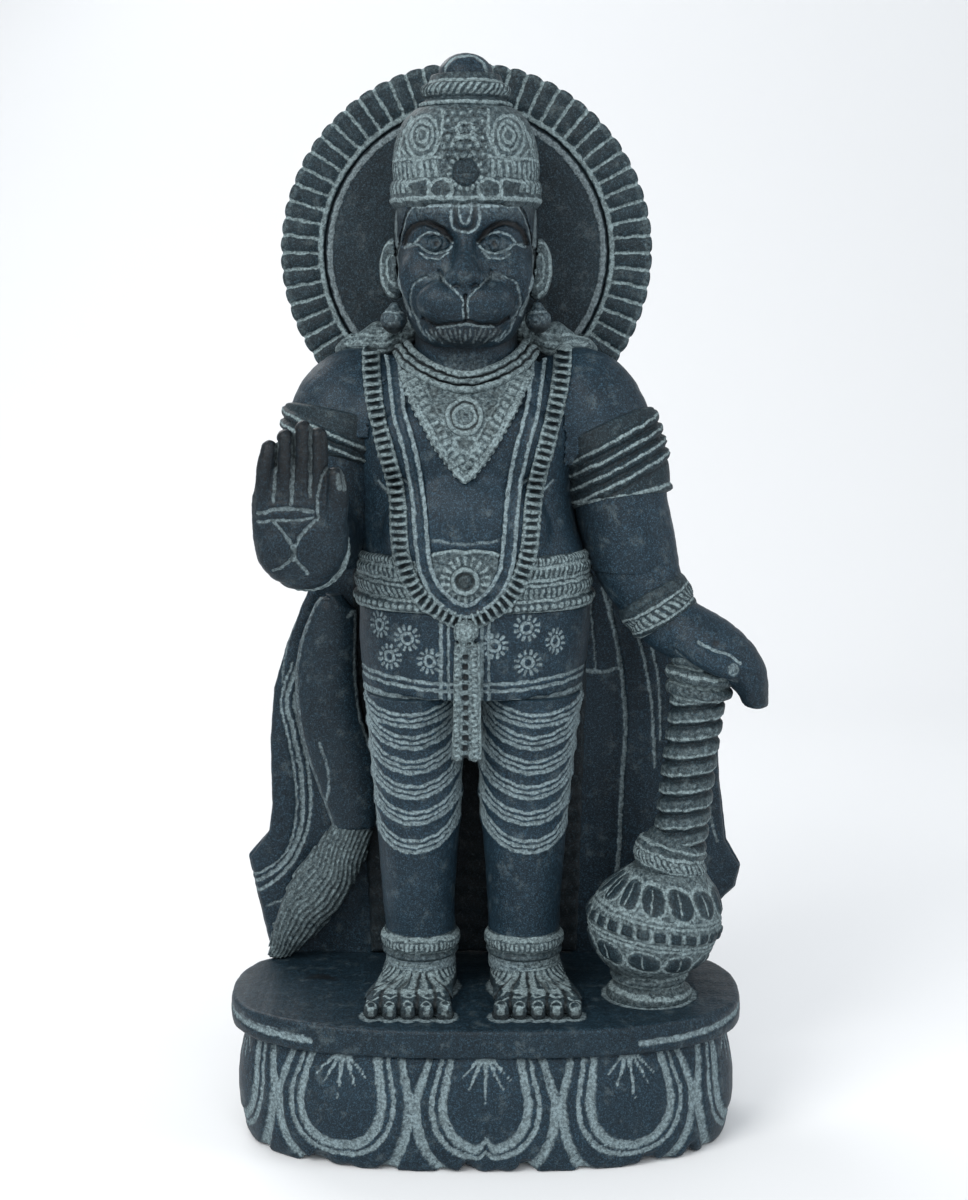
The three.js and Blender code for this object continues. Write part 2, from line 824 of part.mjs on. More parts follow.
function toMesh(name, solid, material) {
  const result = solid.getMesh();
  const geometry = new THREE.BufferGeometry();
  geometry.setAttribute("position", new THREE.BufferAttribute(new Float32Array(result.vertProperties), 3));
  geometry.setIndex(new THREE.BufferAttribute(new Uint32Array(result.triVerts), 1));
  const mesh = new THREE.Mesh(geometry, material);
  mesh.name = name;
  return mesh;
}

const statue = new THREE.Group();
statue.name = "stone_deity_statue";
const earlier = [];
for (const [name, shape, material] of parts) {
  let solid = shape();
  for (const cutter of earlier) {
    if (boxesMeet(solid, cutter)) {
      solid = solid.subtract(cutter);
    }
  }
  statue.add(toMesh(name, biggestPiece(solid), material));
  earlier.push(shape(gap));
}

export default statue;
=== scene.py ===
import json
import math

import bpy
import mathutils
import numpy as np
import openvdb
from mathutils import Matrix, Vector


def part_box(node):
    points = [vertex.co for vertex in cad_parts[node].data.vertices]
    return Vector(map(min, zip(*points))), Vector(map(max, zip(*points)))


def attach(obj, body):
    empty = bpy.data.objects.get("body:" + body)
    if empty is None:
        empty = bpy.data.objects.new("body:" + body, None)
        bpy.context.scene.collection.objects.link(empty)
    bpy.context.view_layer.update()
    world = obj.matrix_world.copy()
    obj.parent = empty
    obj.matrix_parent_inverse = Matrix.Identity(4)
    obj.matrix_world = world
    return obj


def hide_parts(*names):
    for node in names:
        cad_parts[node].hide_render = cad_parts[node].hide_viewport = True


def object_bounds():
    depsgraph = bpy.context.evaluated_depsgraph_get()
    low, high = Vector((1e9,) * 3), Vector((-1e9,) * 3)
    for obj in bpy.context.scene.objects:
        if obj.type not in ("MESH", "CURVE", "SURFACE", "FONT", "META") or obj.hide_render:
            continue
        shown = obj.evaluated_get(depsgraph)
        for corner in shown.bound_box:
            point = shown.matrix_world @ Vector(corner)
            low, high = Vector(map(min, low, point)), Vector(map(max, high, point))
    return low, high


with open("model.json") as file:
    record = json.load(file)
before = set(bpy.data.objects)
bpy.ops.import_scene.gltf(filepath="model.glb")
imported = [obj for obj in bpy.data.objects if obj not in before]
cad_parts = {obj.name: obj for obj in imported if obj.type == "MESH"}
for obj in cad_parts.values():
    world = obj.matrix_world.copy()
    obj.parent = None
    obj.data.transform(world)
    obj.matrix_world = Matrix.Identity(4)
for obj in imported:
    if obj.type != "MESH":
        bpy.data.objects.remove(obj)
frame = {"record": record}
cad_low, cad_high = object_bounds()

# Every form below is a signed distance in millimetres: negative inside the stone.
# Forms take an array of points, one row each, in the shared frame.
# Marks are chisel work on a form. Each one knows how far it covers a point (0 to 1),
# how deep it cuts (negative raises), how pale the bruised stone gets there and how much painted shade it
# lays on.

MM = 1000.0
COARSE = 1.0
slots = {s["node"]: s["material_slot"] for s in frame["record"]["subparts"]}


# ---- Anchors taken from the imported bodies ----
def corners(node):
    low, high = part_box(node)
    return np.array(low) * MM, np.array(high) * MM


def spot(node, fx, fy, fz):
    low, high = corners(node)
    return low + (high - low) * np.array([fx, fy, fz])


# ---- Blends ----
def smooth_min(a, b, k):
    h = np.maximum(k - np.abs(a - b), 0) / k
    return np.minimum(a, b) - h * h * k / 4


def smooth_max(a, b, k):
    return -smooth_min(-a, -b, k)


def blend(k, *forms):
    def form(p):
        d = forms[0](p)
        for other in forms[1:]:
            d = smooth_min(d, other(p), k)
        return d
    return form


def fade(distance, half_width):
    """1 on a line, falling smoothly to 0 at half_width."""
    t = np.clip(1.5 * (1 - distance / half_width), 0, 1)
    return t * t * (3 - 2 * t)


def smooth_rows(rows, count):
    """Resamples rows of numbers along a smooth curve through them."""
    rows = np.array(rows, float)
    padded = np.vstack([2 * rows[0] - rows[1], rows, 2 * rows[-1] - rows[-2]])
    out = []
    for t in np.linspace(0, len(rows) - 1, count):
        i = min(int(t), len(rows) - 2)
        f = t - i
        a, b, c, d = padded[i:i + 4]
        out.append(b + 0.5 * f * (c - a + f * (2 * a - 5 * b + 4 * c - d + f * (3 * (b - c) + d - a))))
    return np.array(out)


# ---- Basic forms ----
def oval_stack(anchor, sections, power=2.0, edge=2.0):
    """Ovals stacked up Z. Each section is z, x, y, half width, half depth from the anchor."""
    table = smooth_rows(sections, 120)
    z_rows = np.maximum.accumulate(table[:, 0]) + np.arange(120) * 1e-5
    low, high = table[0, 0], table[-1, 0]

    def form(p):
        x, y, z = (p - anchor).T
        centre_x, centre_y, wide, deep = (np.interp(z, z_rows, table[:, k]) for k in (1, 2, 3, 4))
        across, along = np.abs(x - centre_x), np.abs(y - centre_y)
        rho = ((across / wide) ** power + (along / deep) ** power) ** (1 / power)
        side = np.hypot(across, along) * (1 - 1 / np.maximum(rho, 0.02))
        return smooth_max(side, np.maximum(low - z, z - high), edge)
    return form


def turned(anchor, rows, edge):
    """Round sections stacked up Z. Each row is z, x and radius."""
    return oval_stack(anchor, [(z, x, 0, r, r) for z, x, r in rows], 2, edge)


def limb(anchor, stations, steps=14, across=(0, -1, 0), cap=1.0):
    """A body swept along a curve. Each station is x, y, z, half width, half depth."""
    rows = smooth_rows(stations, steps)
    across = np.array(across, float)
    pieces = []
    for a, b in zip(rows[:-1], rows[1:]):
        forward = b[:3] - a[:3]
        length = np.linalg.norm(forward)
        forward = forward / length
        side = np.cross(across, forward)
        side /= np.linalg.norm(side)
        pieces.append((anchor + a[:3], forward, side, np.cross(forward, side), length, a[3:], b[3:]))

    def form(p):
        best = None
        for start, forward, side, front, length, r0, r1 in pieces:
            w = p - start
            along = w @ forward
            t = np.clip(along / length, 0, 1)
            wide = r0[0] + (r1[0] - r0[0]) * t
            deep = r0[1] + (r1[1] - r0[1]) * t
            over = along - t * length
            s, f = w @ side, w @ front
            rho = np.sqrt((s / wide) ** 2 + (f / deep) ** 2 + (over / (cap * deep)) ** 2)
            reach = np.sqrt(s * s + f * f + over * over)
            d = reach * (1 - 1 / np.maximum(rho, 0.02))
            best = d if best is None else np.minimum(best, d)
        return best
    return form


def ellipsoid(centre, radii):
    centre, radii = np.array(centre, float), np.array(radii, float)

    def form(p):
        w = p - centre
        rho = np.linalg.norm(w / radii, axis=1)
        return np.linalg.norm(w, axis=1) * (1 - 1 / np.maximum(rho, 0.02))
    return form


def slab_form(outline, front_y, back_y, edge=2.0):
    """A plate in the XZ plane; outline is a function of x, z giving a distance."""
    def form(p):
        flat = outline(p[:, 0], p[:, 2])
        return smooth_max(flat, np.maximum(front_y - p[:, 1], p[:, 1] - back_y), edge)
    return form


def polygon(points):
    """Signed distance to a closed outline of x, z points."""
    points = np.array(points, float)
    following = np.roll(points, -1, axis=0)

    def distance(x, z):
        best = np.full(len(x), 1e9)
        inside = np.zeros(len(x), bool)
        for (ax, az), (bx, bz) in zip(points, following):
            ex, ez = bx - ax, bz - az
            wx, wz = x - ax, z - az
            t = np.clip((wx * ex + wz * ez) / (ex * ex + ez * ez), 0, 1)
            best = np.minimum(best, np.hypot(wx - t * ex, wz - t * ez))
            crosses = (az > z) != (bz > z)
            slope = ex / (ez if abs(ez) > 1e-9 else 1e-9)
            inside ^= crosses & (x < ax + (z - az) * slope)
        return np.where(inside, -best, best)
    return distance


# ---- Flat charts that marks are drawn on ----
def front_chart(origin=(0, 0, 0)):
    return lambda p: (p[:, 0] - origin[0], p[:, 2] - origin[2])


def wrap_chart(axis, radius, lean=0.0, sag=0.0, half_width=60.0):
    """Unrolls the surface round a vertical axis: arc length from the front, and height."""
    def chart(p):
        x, y, z = (p - axis).T
        arc = radius * np.arctan2(x, -y)
        off = np.clip(x / half_width, -1, 1)
        forward = np.clip(0.5 - y / half_width, 0, 1)
        return arc, z + lean * x + sag * (1 - off * off) * forward
    return chart


def polyline(u, v, points):
    """Distance to an open line of points, and how far along it the nearest place is."""
    best = np.full(len(u), 1e9)
    where = np.zeros(len(u))
    run = 0.0
    for (au, av), (bu, bv) in zip(points[:-1], points[1:]):
        eu, ev = bu - au, bv - av
        length = math.hypot(eu, ev)
        t = np.clip(((u - au) * eu + (v - av) * ev) / (length * length), 0, 1)
        d = np.hypot(u - au - t * eu, v - av - t * ev)
        closer = d < best
        best = np.where(closer, d, best)
        where = np.where(closer, run + t * length, where)
        run += length
    return best, where


class Mark:
    # cover, cut and pale are the chisel work; the last value is painted shade.
    def __init__(self, cover, cut=0.0, pale=0.0, painted_shade=0.0):
        self.cover, self.cut, self.pale, self.painted_shade = cover, cut, pale, painted_shade


def stroke(chart, points, width, cut=0.7, pale=1.0, painted_shade=0.0, smooth=True, facing=None):
    """A chiselled line through points on a chart."""
    points = np.array(points, float)
    if smooth and len(points) > 2:
        points = smooth_rows(points, 5 * len(points))
    low, high = points.min(0) - width, points.max(0) + width

    def cover(p):
        u, v = chart(p)
        out = np.zeros(len(p))
        near = (u > low[0]) & (u < high[0]) & (v > low[1]) & (v < high[1])
        if facing is not None:
            near &= facing(p)
        if near.any():
            out[near] = fade(polyline(u[near], v[near], points)[0], width / 2 + 0.35)
        return out
    return Mark(cover, cut, pale, painted_shade)


def oval_line(chart, centre, wide, high, width, cut=0.7, pale=1.0, facing=None):
    def cover(p):
        u, v = chart(p)
        rho = np.hypot((u - centre[0]) / wide, (v - centre[1]) / high)
        out = fade(np.abs(rho - 1) * min(wide, high), width / 2 + 0.35)
        return out if facing is None else out * facing(p)
    return Mark(cover, cut, pale)


def oval_patch(chart, centre, wide, high, cut=-1.0, pale=0.0, painted_shade=0.0, soft=1.0, facing=None):
    def cover(p):
        u, v = chart(p)
        rho = np.hypot((u - centre[0]) / wide, (v - centre[1]) / high)
        out = np.clip((1 - rho) * min(wide, high) / soft, 0, 1)
        return out if facing is None else out * facing(p)
    return Mark(cover, cut, pale, painted_shade)


def level_line(chart, level, width, cut=0.7, pale=1.0, facing=None):
    def cover(p):
        out = fade(np.abs(chart(p)[1] - level), width / 2 + 0.35)
        return out if facing is None else out * facing(p)
    return Mark(cover, cut, pale)


def teeth(chart, low, high, pitch, share=0.5, cut=0.8, pale=0.9, slant=0.0, painted_shade=0.0, facing=None):
    """A row of short upright strokes between two levels."""
    def cover(p):
        u, v = chart(p)
        phase = np.abs(((u + slant * v) / pitch) % 1 - 0.5) * pitch
        out = fade(phase, pitch * share) * np.clip((v - low) / 0.6, 0, 1) * np.clip((high - v) / 0.6, 0, 1)
        return out if facing is None else out * facing(p)
    return Mark(cover, cut, pale, painted_shade)


def studs(chart, level, radius, pitch, cut=-1.2, pale=0.3, shift=0.0, facing=None):
    """A row of round bosses along one level."""
    def cover(p):
        u, v = chart(p)
        du = (((u + shift) / pitch + 0.5) % 1 - 0.5) * pitch
        out = np.sqrt(np.clip(1 - (du * du + (v - level) ** 2) / (radius * radius), 0, 1))
        return out if facing is None else out * facing(p)
    return Mark(cover, cut, pale)


def toward_front(y_limit):
    return lambda p: p[:, 1] < y_limit


def growing(amount, axis, start, end):
    """Painted shade that grows from nothing to amount between two places on one axis."""
    return lambda p: amount * np.clip((p[:, axis] - start) / (end - start), 0, 1)


# Painted shade laid evenly over a whole piece.
def even(amount):
    return lambda p: np.full(len(p), amount)


def ripple(p, length, turn):
    """A soft uneven wave between -1 and 1, with crests about one length apart."""
    k = 2 * math.pi / length
    x, y, z = p[:, 0] * k, p[:, 1] * k, p[:, 2] * k
    a = np.sin(x + 1.3 * np.sin(0.71 * z + turn) + turn)
    b = np.sin(z + 1.1 * np.sin(0.63 * y - turn) + 2.1 * turn)
    return a * b + 0.5 * np.sin(y + 0.8 * np.sin(0.57 * x + turn) + 3.7 * turn)


def unsteady(p):
    """Where the chisel went: lines cut by hand wander a little."""
    drift = np.stack([ripple(p, 11, turn) for turn in (0.4, 1.9, 3.3)], 1)
    shake = np.stack([ripple(p, 3.6, turn) for turn in (2.2, 0.9, 4.1)], 1)
    return p + 0.34 * drift + 0.13 * shake


# ---- Turning a form into a mesh ----
def carve(form, marks):
    def carved(p):
        d = form(p)
        near = np.abs(d) < 5
        if near.any():
            q = p[near]
            shift = 0.07 * ripple(q, 4.3, 1.0) + 0.12 * ripple(q, 17, 2.6)
            q = unsteady(q)
            for mark in marks:
                if mark.cut:
                    shift += mark.cut * mark.cover(q)
            d[near] += shift
        return d
    return carved


def sample(form, low, high, voxel):
    """Fills a grid with distances, working out full detail only near the surface."""
    block = 8
    blocks = np.maximum(1, np.ceil((high - low) / (voxel * block)).astype(int))
    ijk = np.stack(np.meshgrid(*[np.arange(n) for n in blocks], indexing="ij"), -1).reshape(-1, 3)
    centres = low + (ijk + 0.5 - 0.5 / block) * block * voxel
    rough = form(centres)
    reach = block * voxel * 0.87 * 1.25 + 3.5
    grid = np.repeat(rough.astype(np.float32), block ** 3).reshape(*blocks, block, block, block)
    offsets = np.stack(np.meshgrid(*[np.arange(block)] * 3, indexing="ij"), -1).reshape(-1, 3)
    busy = ijk[np.abs(rough) < reach]
    for start in range(0, len(busy), 700):
        part = busy[start:start + 700]
        points = low + (part[:, None, :] * block + offsets[None]).reshape(-1, 3) * voxel
        values = form(points).astype(np.float32).reshape(-1, block, block, block)
        grid[part[:, 0], part[:, 1], part[:, 2]] = values
    grid = grid.transpose(0, 3, 1, 4, 2, 5).reshape(blocks * block)
    return np.ascontiguousarray(np.clip(grid, -9, 9))


def mesh_from(name, form, low, high, voxel):
    voxel = voxel * COARSE
    low = np.array(low, float) - 3 * voxel - 1
    high = np.array(high, float) + 3 * voxel + 1
    volume = openvdb.FloatGrid(9.0)
    volume.copyFromArray(sample(form, low, high, voxel))
    points, quads = volume.convertToQuads(isovalue=0.0)
    points = points.astype(np.float64) * voxel + low
    quads = quads[:, ::-1].astype(np.int32)
    mesh = bpy.data.meshes.new(name)
    mesh.vertices.add(len(points))
    mesh.vertices.foreach_set("co", (points / MM).ravel())
    mesh.loops.add(quads.size)
    mesh.loops.foreach_set("vertex_index", quads.ravel())
    mesh.polygons.add(len(quads))
    mesh.polygons.foreach_set("loop_start", np.arange(0, quads.size, 4))
    mesh.update(calc_edges=True)
    mesh.polygons.foreach_set("use_smooth", np.ones(len(quads), bool))
    return mesh, points


def attribute(mesh, name, values):
    layer = mesh.attributes.new(name, "FLOAT", "POINT")
    layer.data.foreach_set("value", np.clip(values, 0, 1).astype(np.float32))


def piece(node, form, marks=(), voxel=0.9, grow=(0, 0, 0, 0, 0, 0), pale=0.0, painted_shade=None):
    """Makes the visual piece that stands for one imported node."""
    low, high = corners(node)
    low = low - np.array(grow[:3])
    high = high + np.array(grow[3:])
    mesh, points = mesh_from("carved_" + node, carve(form, list(marks)), low, high, voxel)
    chalk = np.full(len(points), float(pale))
    # Painted shade from the last argument and from the marks is kept as a point attribute that darkens the
    # stone.
    dark = np.zeros(len(points)) if painted_shade is None else painted_shade(points)
    cut_at = unsteady(points)
    for mark in marks:
        if mark.pale or mark.painted_shade:
            cover = mark.cover(cut_at)
            chalk = np.maximum(chalk, mark.pale * cover) if mark.pale >= 0 else chalk + mark.pale * cover
            dark = np.maximum(dark, mark.painted_shade * cover)
    attribute(mesh, "chisel", chalk * (0.86 + 0.2 * ripple(points, 5.1, 0.3)))
    attribute(mesh, "painted_shade", dark)
    obj = bpy.data.objects.new("carved_" + node, mesh)
    bpy.context.scene.collection.objects.link(obj)
    mesh.materials.append(MATERIALS[slots[node]])
    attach(obj, "root")
    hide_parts(node)
    return obj


# ---- Stone ----
def stone(name, dark, chalk, roughness):
    """Dark fine-grained stone, bruised pale wherever a chisel or a point has touched it."""
    material = bpy.data.materials.new(name)
    material.use_nodes = True
    nodes, links = material.node_tree.nodes, material.node_tree.links
    surface = nodes["Principled BSDF"]

    def noise(scale, detail, rough=0.6):
        node = nodes.new("ShaderNodeTexNoise")
        node.inputs["Scale"].default_value = scale
        node.inputs["Detail"].default_value = detail
        node.inputs["Roughness"].default_value = rough
        links.new(place.outputs["Object"], node.inputs["Vector"])
        return node.outputs["Fac"]

    def ramp(source, low, high, bottom=0.0, top=1.0):
        node = nodes.new("ShaderNodeMapRange")
        node.interpolation_type = "SMOOTHSTEP"
        for socket, value in zip(("From Min", "From Max", "To Min", "To Max"), (low, high, bottom, top)):
            node.inputs[socket].default_value = value
        links.new(source, node.inputs["Value"])
        return node.outputs["Result"]

    def math_node(kind, a, b):
        node = nodes.new("ShaderNodeMath")
        node.operation = kind
        node.use_clamp = True
        for socket, value in zip(node.inputs, (a, b)):
            if isinstance(value, float):
                socket.default_value = value
            else:
                links.new(value, socket)
        return node.outputs[0]

    def mix(factor, a, b):
        node = nodes.new("ShaderNodeMix")
        node.data_type = "RGBA"
        links.new(factor, node.inputs["Factor"])
        for socket, value in ((node.inputs[6], a), (node.inputs[7], b)):
            if isinstance(value, tuple):
                socket.default_value = (*value, 1)
            else:
                links.new(value, socket)
        return node.outputs[2]

    def layer(attribute_name):
        node = nodes.new("ShaderNodeAttribute")
        node.attribute_name = attribute_name
        return node.outputs["Fac"]

    place = nodes.new("ShaderNodeTexCoord")
    grain = noise(620, 3, 0.7)
    speck = noise(1500, 1)
    cloud = noise(28, 4)
    breakup = noise(480, 4, 0.8)
    body = mix(ramp(cloud, 0.35, 0.7), dark, tuple(min(1, c * 1.45) for c in dark))
    body = mix(ramp(grain, 0.5, 0.68, 0, 0.85), body, tuple(c * 3.4 for c in dark))
    body = mix(ramp(noise(95, 5, 0.75), 0.52, 0.72, 0, 0.55), body, tuple(c * 0.45 for c in chalk))
    body = mix(ramp(speck, 0.56, 0.72, 0, 0.7), body, tuple(c * 5.5 for c in dark))
    body = mix(ramp(speck, 0.45, 0.3, 0, 0.8), body, tuple(c * 0.25 for c in dark))
    dust = ramp(math_node("MULTIPLY", layer("chisel"), ramp(breakup, 0.30, 0.58, 0.3, 1.4)), 0.06, 0.8)
    worn = mix(ramp(grain, 0.36, 0.66), tuple(c * 0.5 for c in chalk), tuple(c * 1.15 for c in chalk))
    coat = mix(dust, body, worn)
    # Painted shade: the attribute darkens the stone to near black in grooves, under things and on sides
    # turned away.
    painted_shade = math_node("MULTIPLY", layer("painted_shade"), ramp(breakup, 0.2, 0.65, 0.55, 1.0))
    coat = mix(painted_shade, coat, (0.0062, 0.0056, 0.0052))
    links.new(coat, surface.inputs["Base Color"])
    links.new(ramp(dust, 0, 1, roughness, 0.9), surface.inputs["Roughness"])
    surface.inputs["Specular IOR Level"].default_value = 0.18
    bump = nodes.new("ShaderNodeBump")
    bump.inputs["Strength"].default_value = 0.35
    bump.inputs["Distance"].default_value = 0.0006
    links.new(math_node("ADD", grain, math_node("MULTIPLY", dust, breakup)), bump.inputs["Height"])
    links.new(bump.outputs["Normal"], surface.inputs["Normal"])
    return material


MATERIALS = {
    "body_stone": stone("body_stone", (0.0068, 0.0150, 0.0222), (0.185, 0.245, 0.265), 0.50),
    "dark_stone": stone("dark_stone", (0.0060, 0.0132, 0.0192), (0.185, 0.245, 0.265), 0.46),
    "deep_stone": stone("deep_stone", (0.0062, 0.0120, 0.0160), (0.150, 0.190, 0.205), 0.6),
    "carved_stone": stone("carved_stone", (0.0075, 0.0140, 0.0180), (0.200, 0.262, 0.275), 0.6),
}


# ---- Base ----
PETALS = 9
PLAN_POWER = 2.6  # how square the oval plan of the base and the plinth is


def plan_chart(node, power=PLAN_POWER):
    """Arc length round the oval plan of a base, from the middle of the front, and height."""
    low, high = corners(node)
    centre = (low + high) / 2
    wide, deep = (high[0] - low[0]) / 2, (high[1] - low[1]) / 2
    turn = np.linspace(-math.pi, math.pi, 721)
    s, c = np.sin(turn), np.cos(turn)
    rho = (np.abs(s) ** power + np.abs(c) ** power) ** (-1 / power)
    x, y = wide * rho * s, -deep * rho * c
    steps = np.hypot(np.diff(x), np.diff(y))
    arc = np.concatenate([[0], np.cumsum(steps)])
    arc -= arc[360]

    def chart(p):
        angle = np.arctan2((p[:, 0] - centre[0]) / wide, -(p[:, 1] - centre[1]) / deep)
        return np.interp(angle, turn, arc), p[:, 2] - low[2]
    return chart, arc[-1] - arc[0]


def petal_marks(chart, around):
    pitch = around / PETALS

    def local(p):
        u, v = chart(p)
        number = np.round(u / pitch)
        return u - number * pitch, v, number

    def loop(half_width, bottom, width, cut, pale, heart=0.0):
        middle = 42.0

        def cover(p):
            u, v, number = local(p)
            notch = heart * (number == 0) * np.clip(1 - np.abs(u) / 6, 0, 1) ** 2
            drop = np.maximum(middle - v, 0) / (middle - bottom - notch)
            narrow = 1 - 0.17 * np.clip((v - middle) / 24, 0, 1)
            rho = ((np.abs(u) / (half_width * narrow)) ** 2.3 + drop ** 2.3) ** (1 / 2.3)
            return fade(np.abs(rho - 1) * half_width * 0.92, width / 2 + 0.4)
        return Mark(cover, cut, pale)

    def belly(p):
        u, v, _ = local(p)
        inside = 1 - (np.abs(u) / 25) ** 2 - ((v - 42) / 30) ** 2 * (v < 42)
        return np.clip(inside, 0, 1)

    def veins(p):
        u, v, _ = local(p)
        out = np.zeros(len(p))
        for lean, length in ((-0.9, 13), (-0.45, 18), (0.0, 26), (0.45, 18), (0.9, 13)):
            drop = 66 - v
            axis = lean * (4 + drop)
            width = 1.7 * np.clip(1 - drop / length, 0, 1)
            out = np.maximum(out, fade(np.abs(u - axis), width + 0.3) * (drop < length) * (width > 0.1))
        return out

    return [
        Mark(belly, -1.6),
        loop(24.0, 14.5, 5.4, 1.0, 1.0, heart=6),
        loop(30.5, 9.0, 2.8, 0.9, 0.95, heart=4),
        loop(39.5, -7.0, 6.0, 1.8, 0.95),
        Mark(veins, 0.6, 0.95),
    ]


def chips(level, size):
    """A rough, broken lower edge."""
    def cover(p):
        x, y = p[:, 0], p[:, 1]
        wave = np.sin(x * 0.071 + 1.0) + np.sin(x * 0.173 + y * 0.12) + 0.6 * np.sin(x * 0.41 + y * 0.27)
        broken = np.clip(0.35 + 0.4 * wave, 0, 1) ** 2
        return np.clip((level * broken + 1.0 - p[:, 2]) / 3.0, 0, 1) * broken
    return Mark(cover, size, 0.0)


def base_pieces():
    middle = spot("lotus_base", 0.5, 0.5, 0)
    sections = [
        (0, 0, 0, 137, 74), (6, 0, 0, 140, 75.5), (17, 0, 0, 142, 77), (34, 0, 0, 142, 77),
        (50, 0, 0, 140, 76), (66, 0, 0, 136, 74),
    ]
    chart, around = plan_chart("lotus_base")
    marks = petal_marks(chart, around) + [chips(8, 3.6)]
    piece("lotus_base", oval_stack(middle, sections, PLAN_POWER, 2), marks, 1.25)

    middle = spot("plinth_slab", 0.5, 0.5, 0)
    sections = [(0, 0, 0, 146.5, 78.5), (8, 0, 0, 147, 79), (16.7, 0, 0, 146.5, 78.5)]
    chart, _ = plan_chart("plinth_slab")
    marks = [
        stroke(chart, [(-176, 10), (-150, 8.5), (-120, 7.5), (-98, 7)], 4.2, 1.4, 0.95),
        stroke(chart, [(86, 6.5), (120, 7.5), (150, 9.5), (176, 11)], 4.2, 1.4, 0.95),
        stroke(chart, [(-102, 9.6), (-150, 11.2)], 1.2, 0.3, 0.5),
    ]

    # A dark, slightly sunk spot on the top of the plinth, left of the middle: painted shade.
    def shade_spot(p):
        x, y, z = (p - middle).T
        spread = np.hypot((x + 96) / 15, (y - 8) / 7 + 0.5 * np.sin(p[:, 0] * 0.21))
        return fade(spread, 1.0) * (z > 14)
    marks.append(Mark(shade_spot, 0.25, 0, 0.75))

    def round_foot(foot):
        """A pale line worn round whatever stands on the plinth."""
        def cover(p):
            return fade(np.abs(foot(p) - 1.2), 2.6) * (p[:, 1] < 30) * (p[:, 2] > middle[2] + 12)
        return Mark(cover, 0.2, 0.75)
    marks += [round_foot(foot) for foot in (right_foot_form, left_foot_form, mace_foot_form)]
    piece("plinth_slab", oval_stack(middle, sections, PLAN_POWER, 3), marks, 1.1)


# ---- Feet and legs ----
TOE_PITCH = 10.2


def foot_form(node, sign):
    """A bare foot; sign is 1 when the big toe is on the +X side."""
    sole = spot(node, 0.5, 0.5, 0)
    heel = sign * 5.5
    stations = [
        (heel, 36.7, 10.7, 15, 11), (heel, 20.7, 11.7, 19, 13.5), (heel * 0.5, -1.3, 7.0, 22, 9.2),
        (0, -20, 5.2, 25, 7.4), (0, -30, 4.0, 24.5, 5.6),
    ]
    sole_form = limb(sole, stations, 12, across=(0, 0, 1))
    ankle = oval_stack(sole + np.array([heel, 14.7, 0]), [
        (2, 0, 0, 21, 23), (14, 0, 0, 19.5, 22), (23, 0, 0, 19, 21.5),
    ])
    toes = []
    for i in range(5):
        big = i == (4 if sign > 0 else 0)
        x = (i - 2) * TOE_PITCH
        reach = -36 + (1.5 if abs(i - 2) == 2 and not big else 0)
        radius = 5.6 if big else 4.7
        toes.append(ellipsoid(sole + np.array([x, reach, 3.2]), (radius, 7.5, radius)))
    whole = blend(5, sole_form, ankle)

    def form(p):
        d = whole(p)
        for toe in toes:
            d = smooth_min(d, toe(p), 2.0)
        return np.maximum(d, sole[2] - 0.8 - p[:, 2])
    return form, sole, heel


right_foot_form, right_sole, right_heel = foot_form("right_foot", 1)
left_foot_form, left_sole, left_heel = foot_form("left_foot", -1)


def foot_piece(node, form, sole, heel):
    chart = lambda p: (p[:, 0] - sole[0], p[:, 1] - sole[1])
    axis = sole + np.array([heel, 14.7, 0])
    ring = wrap_chart(axis, 21)
    upper = lambda p: (p[:, 2] > sole[2] + 2).astype(bool)
    marks = [
        Mark(lambda p: np.clip(p[:, 2] - sole[2] - 17.5, 0, 1), 0.0, 0.6),
        level_line(ring, 17.0, 1.5, 0.8, 1.0),
        teeth(ring, 11.2, 16.2, 3.6, 0.42, 1.0, 1.0),
        level_line(ring, 10.6, 1.2, 0.5, 0.9),
    ]
    # The gaps between the toes are darkened with painted shade.
    for i in range(-2, 4):
        x = (i - 0.5) * TOE_PITCH
        gap = [(heel + (x - heel) * 0.45, -9), (x * 0.93, -22), (x, -40)]
        marks.append(stroke(chart, gap, 2.2, 1.6, 0.0, 0.7, facing=upper))
    for i in range(-2, 3):
        x = i * TOE_PITCH
        strap = [(heel + (x - heel) * 0.5, -7), (x * 0.95, -26)]
        marks.append(stroke(chart, strap, 1.7, 0.2, 0.75, facing=upper))
        marks.append(oval_line(chart, (x, -37), 2.6, 3.2, 0.9, 0.4, 0.85, facing=upper))
        marks.append(stroke(chart, [(x - 3.5, -29), (x, -31), (x + 3.5, -29)], 1.2, 0.5, 0.9, facing=upper))
    # Painted shade on the fronts of the toes just above the floor.
    dark = lambda p: 0.55 * np.clip((sole[2] + 6 - p[:, 2]) / 4, 0, 1) * (p[:, 1] < sole[1] - 32)
    piece(node, form, marks, 0.65, pale=0.16, painted_shade=dark)


LEG_HEIGHTS = (-5, 20, 35, 65, 95, 128, 158)
LEG_DEPTHS = (22, 23, 25, 28, 30, 33, 36)


def leg_form(node, centre, wide):
    """A leg, with the stone left behind it that ties it to the slab."""
    low = spot(node, 0.5, 0, 0)
    rows = zip(LEG_HEIGHTS, centre, wide, LEG_DEPTHS)
    sections = [(z, x, 34.5 + (z > 110), w, d) for z, x, w, d in rows]
    shin = oval_stack(low, sections, 2.0, 1)
    web = slab_form(lambda x, z: np.abs(x - low[0] - centre[3]) - 13, low[1] + 40, low[1] + 92, 4)

    def form(p):
        legs = smooth_min(shin(p), np.maximum(web(p), low[2] - 15 - p[:, 2]), 9)
        return np.maximum(legs, p[:, 2] - low[2] - LEG_HEIGHTS[-1])
    return form, low


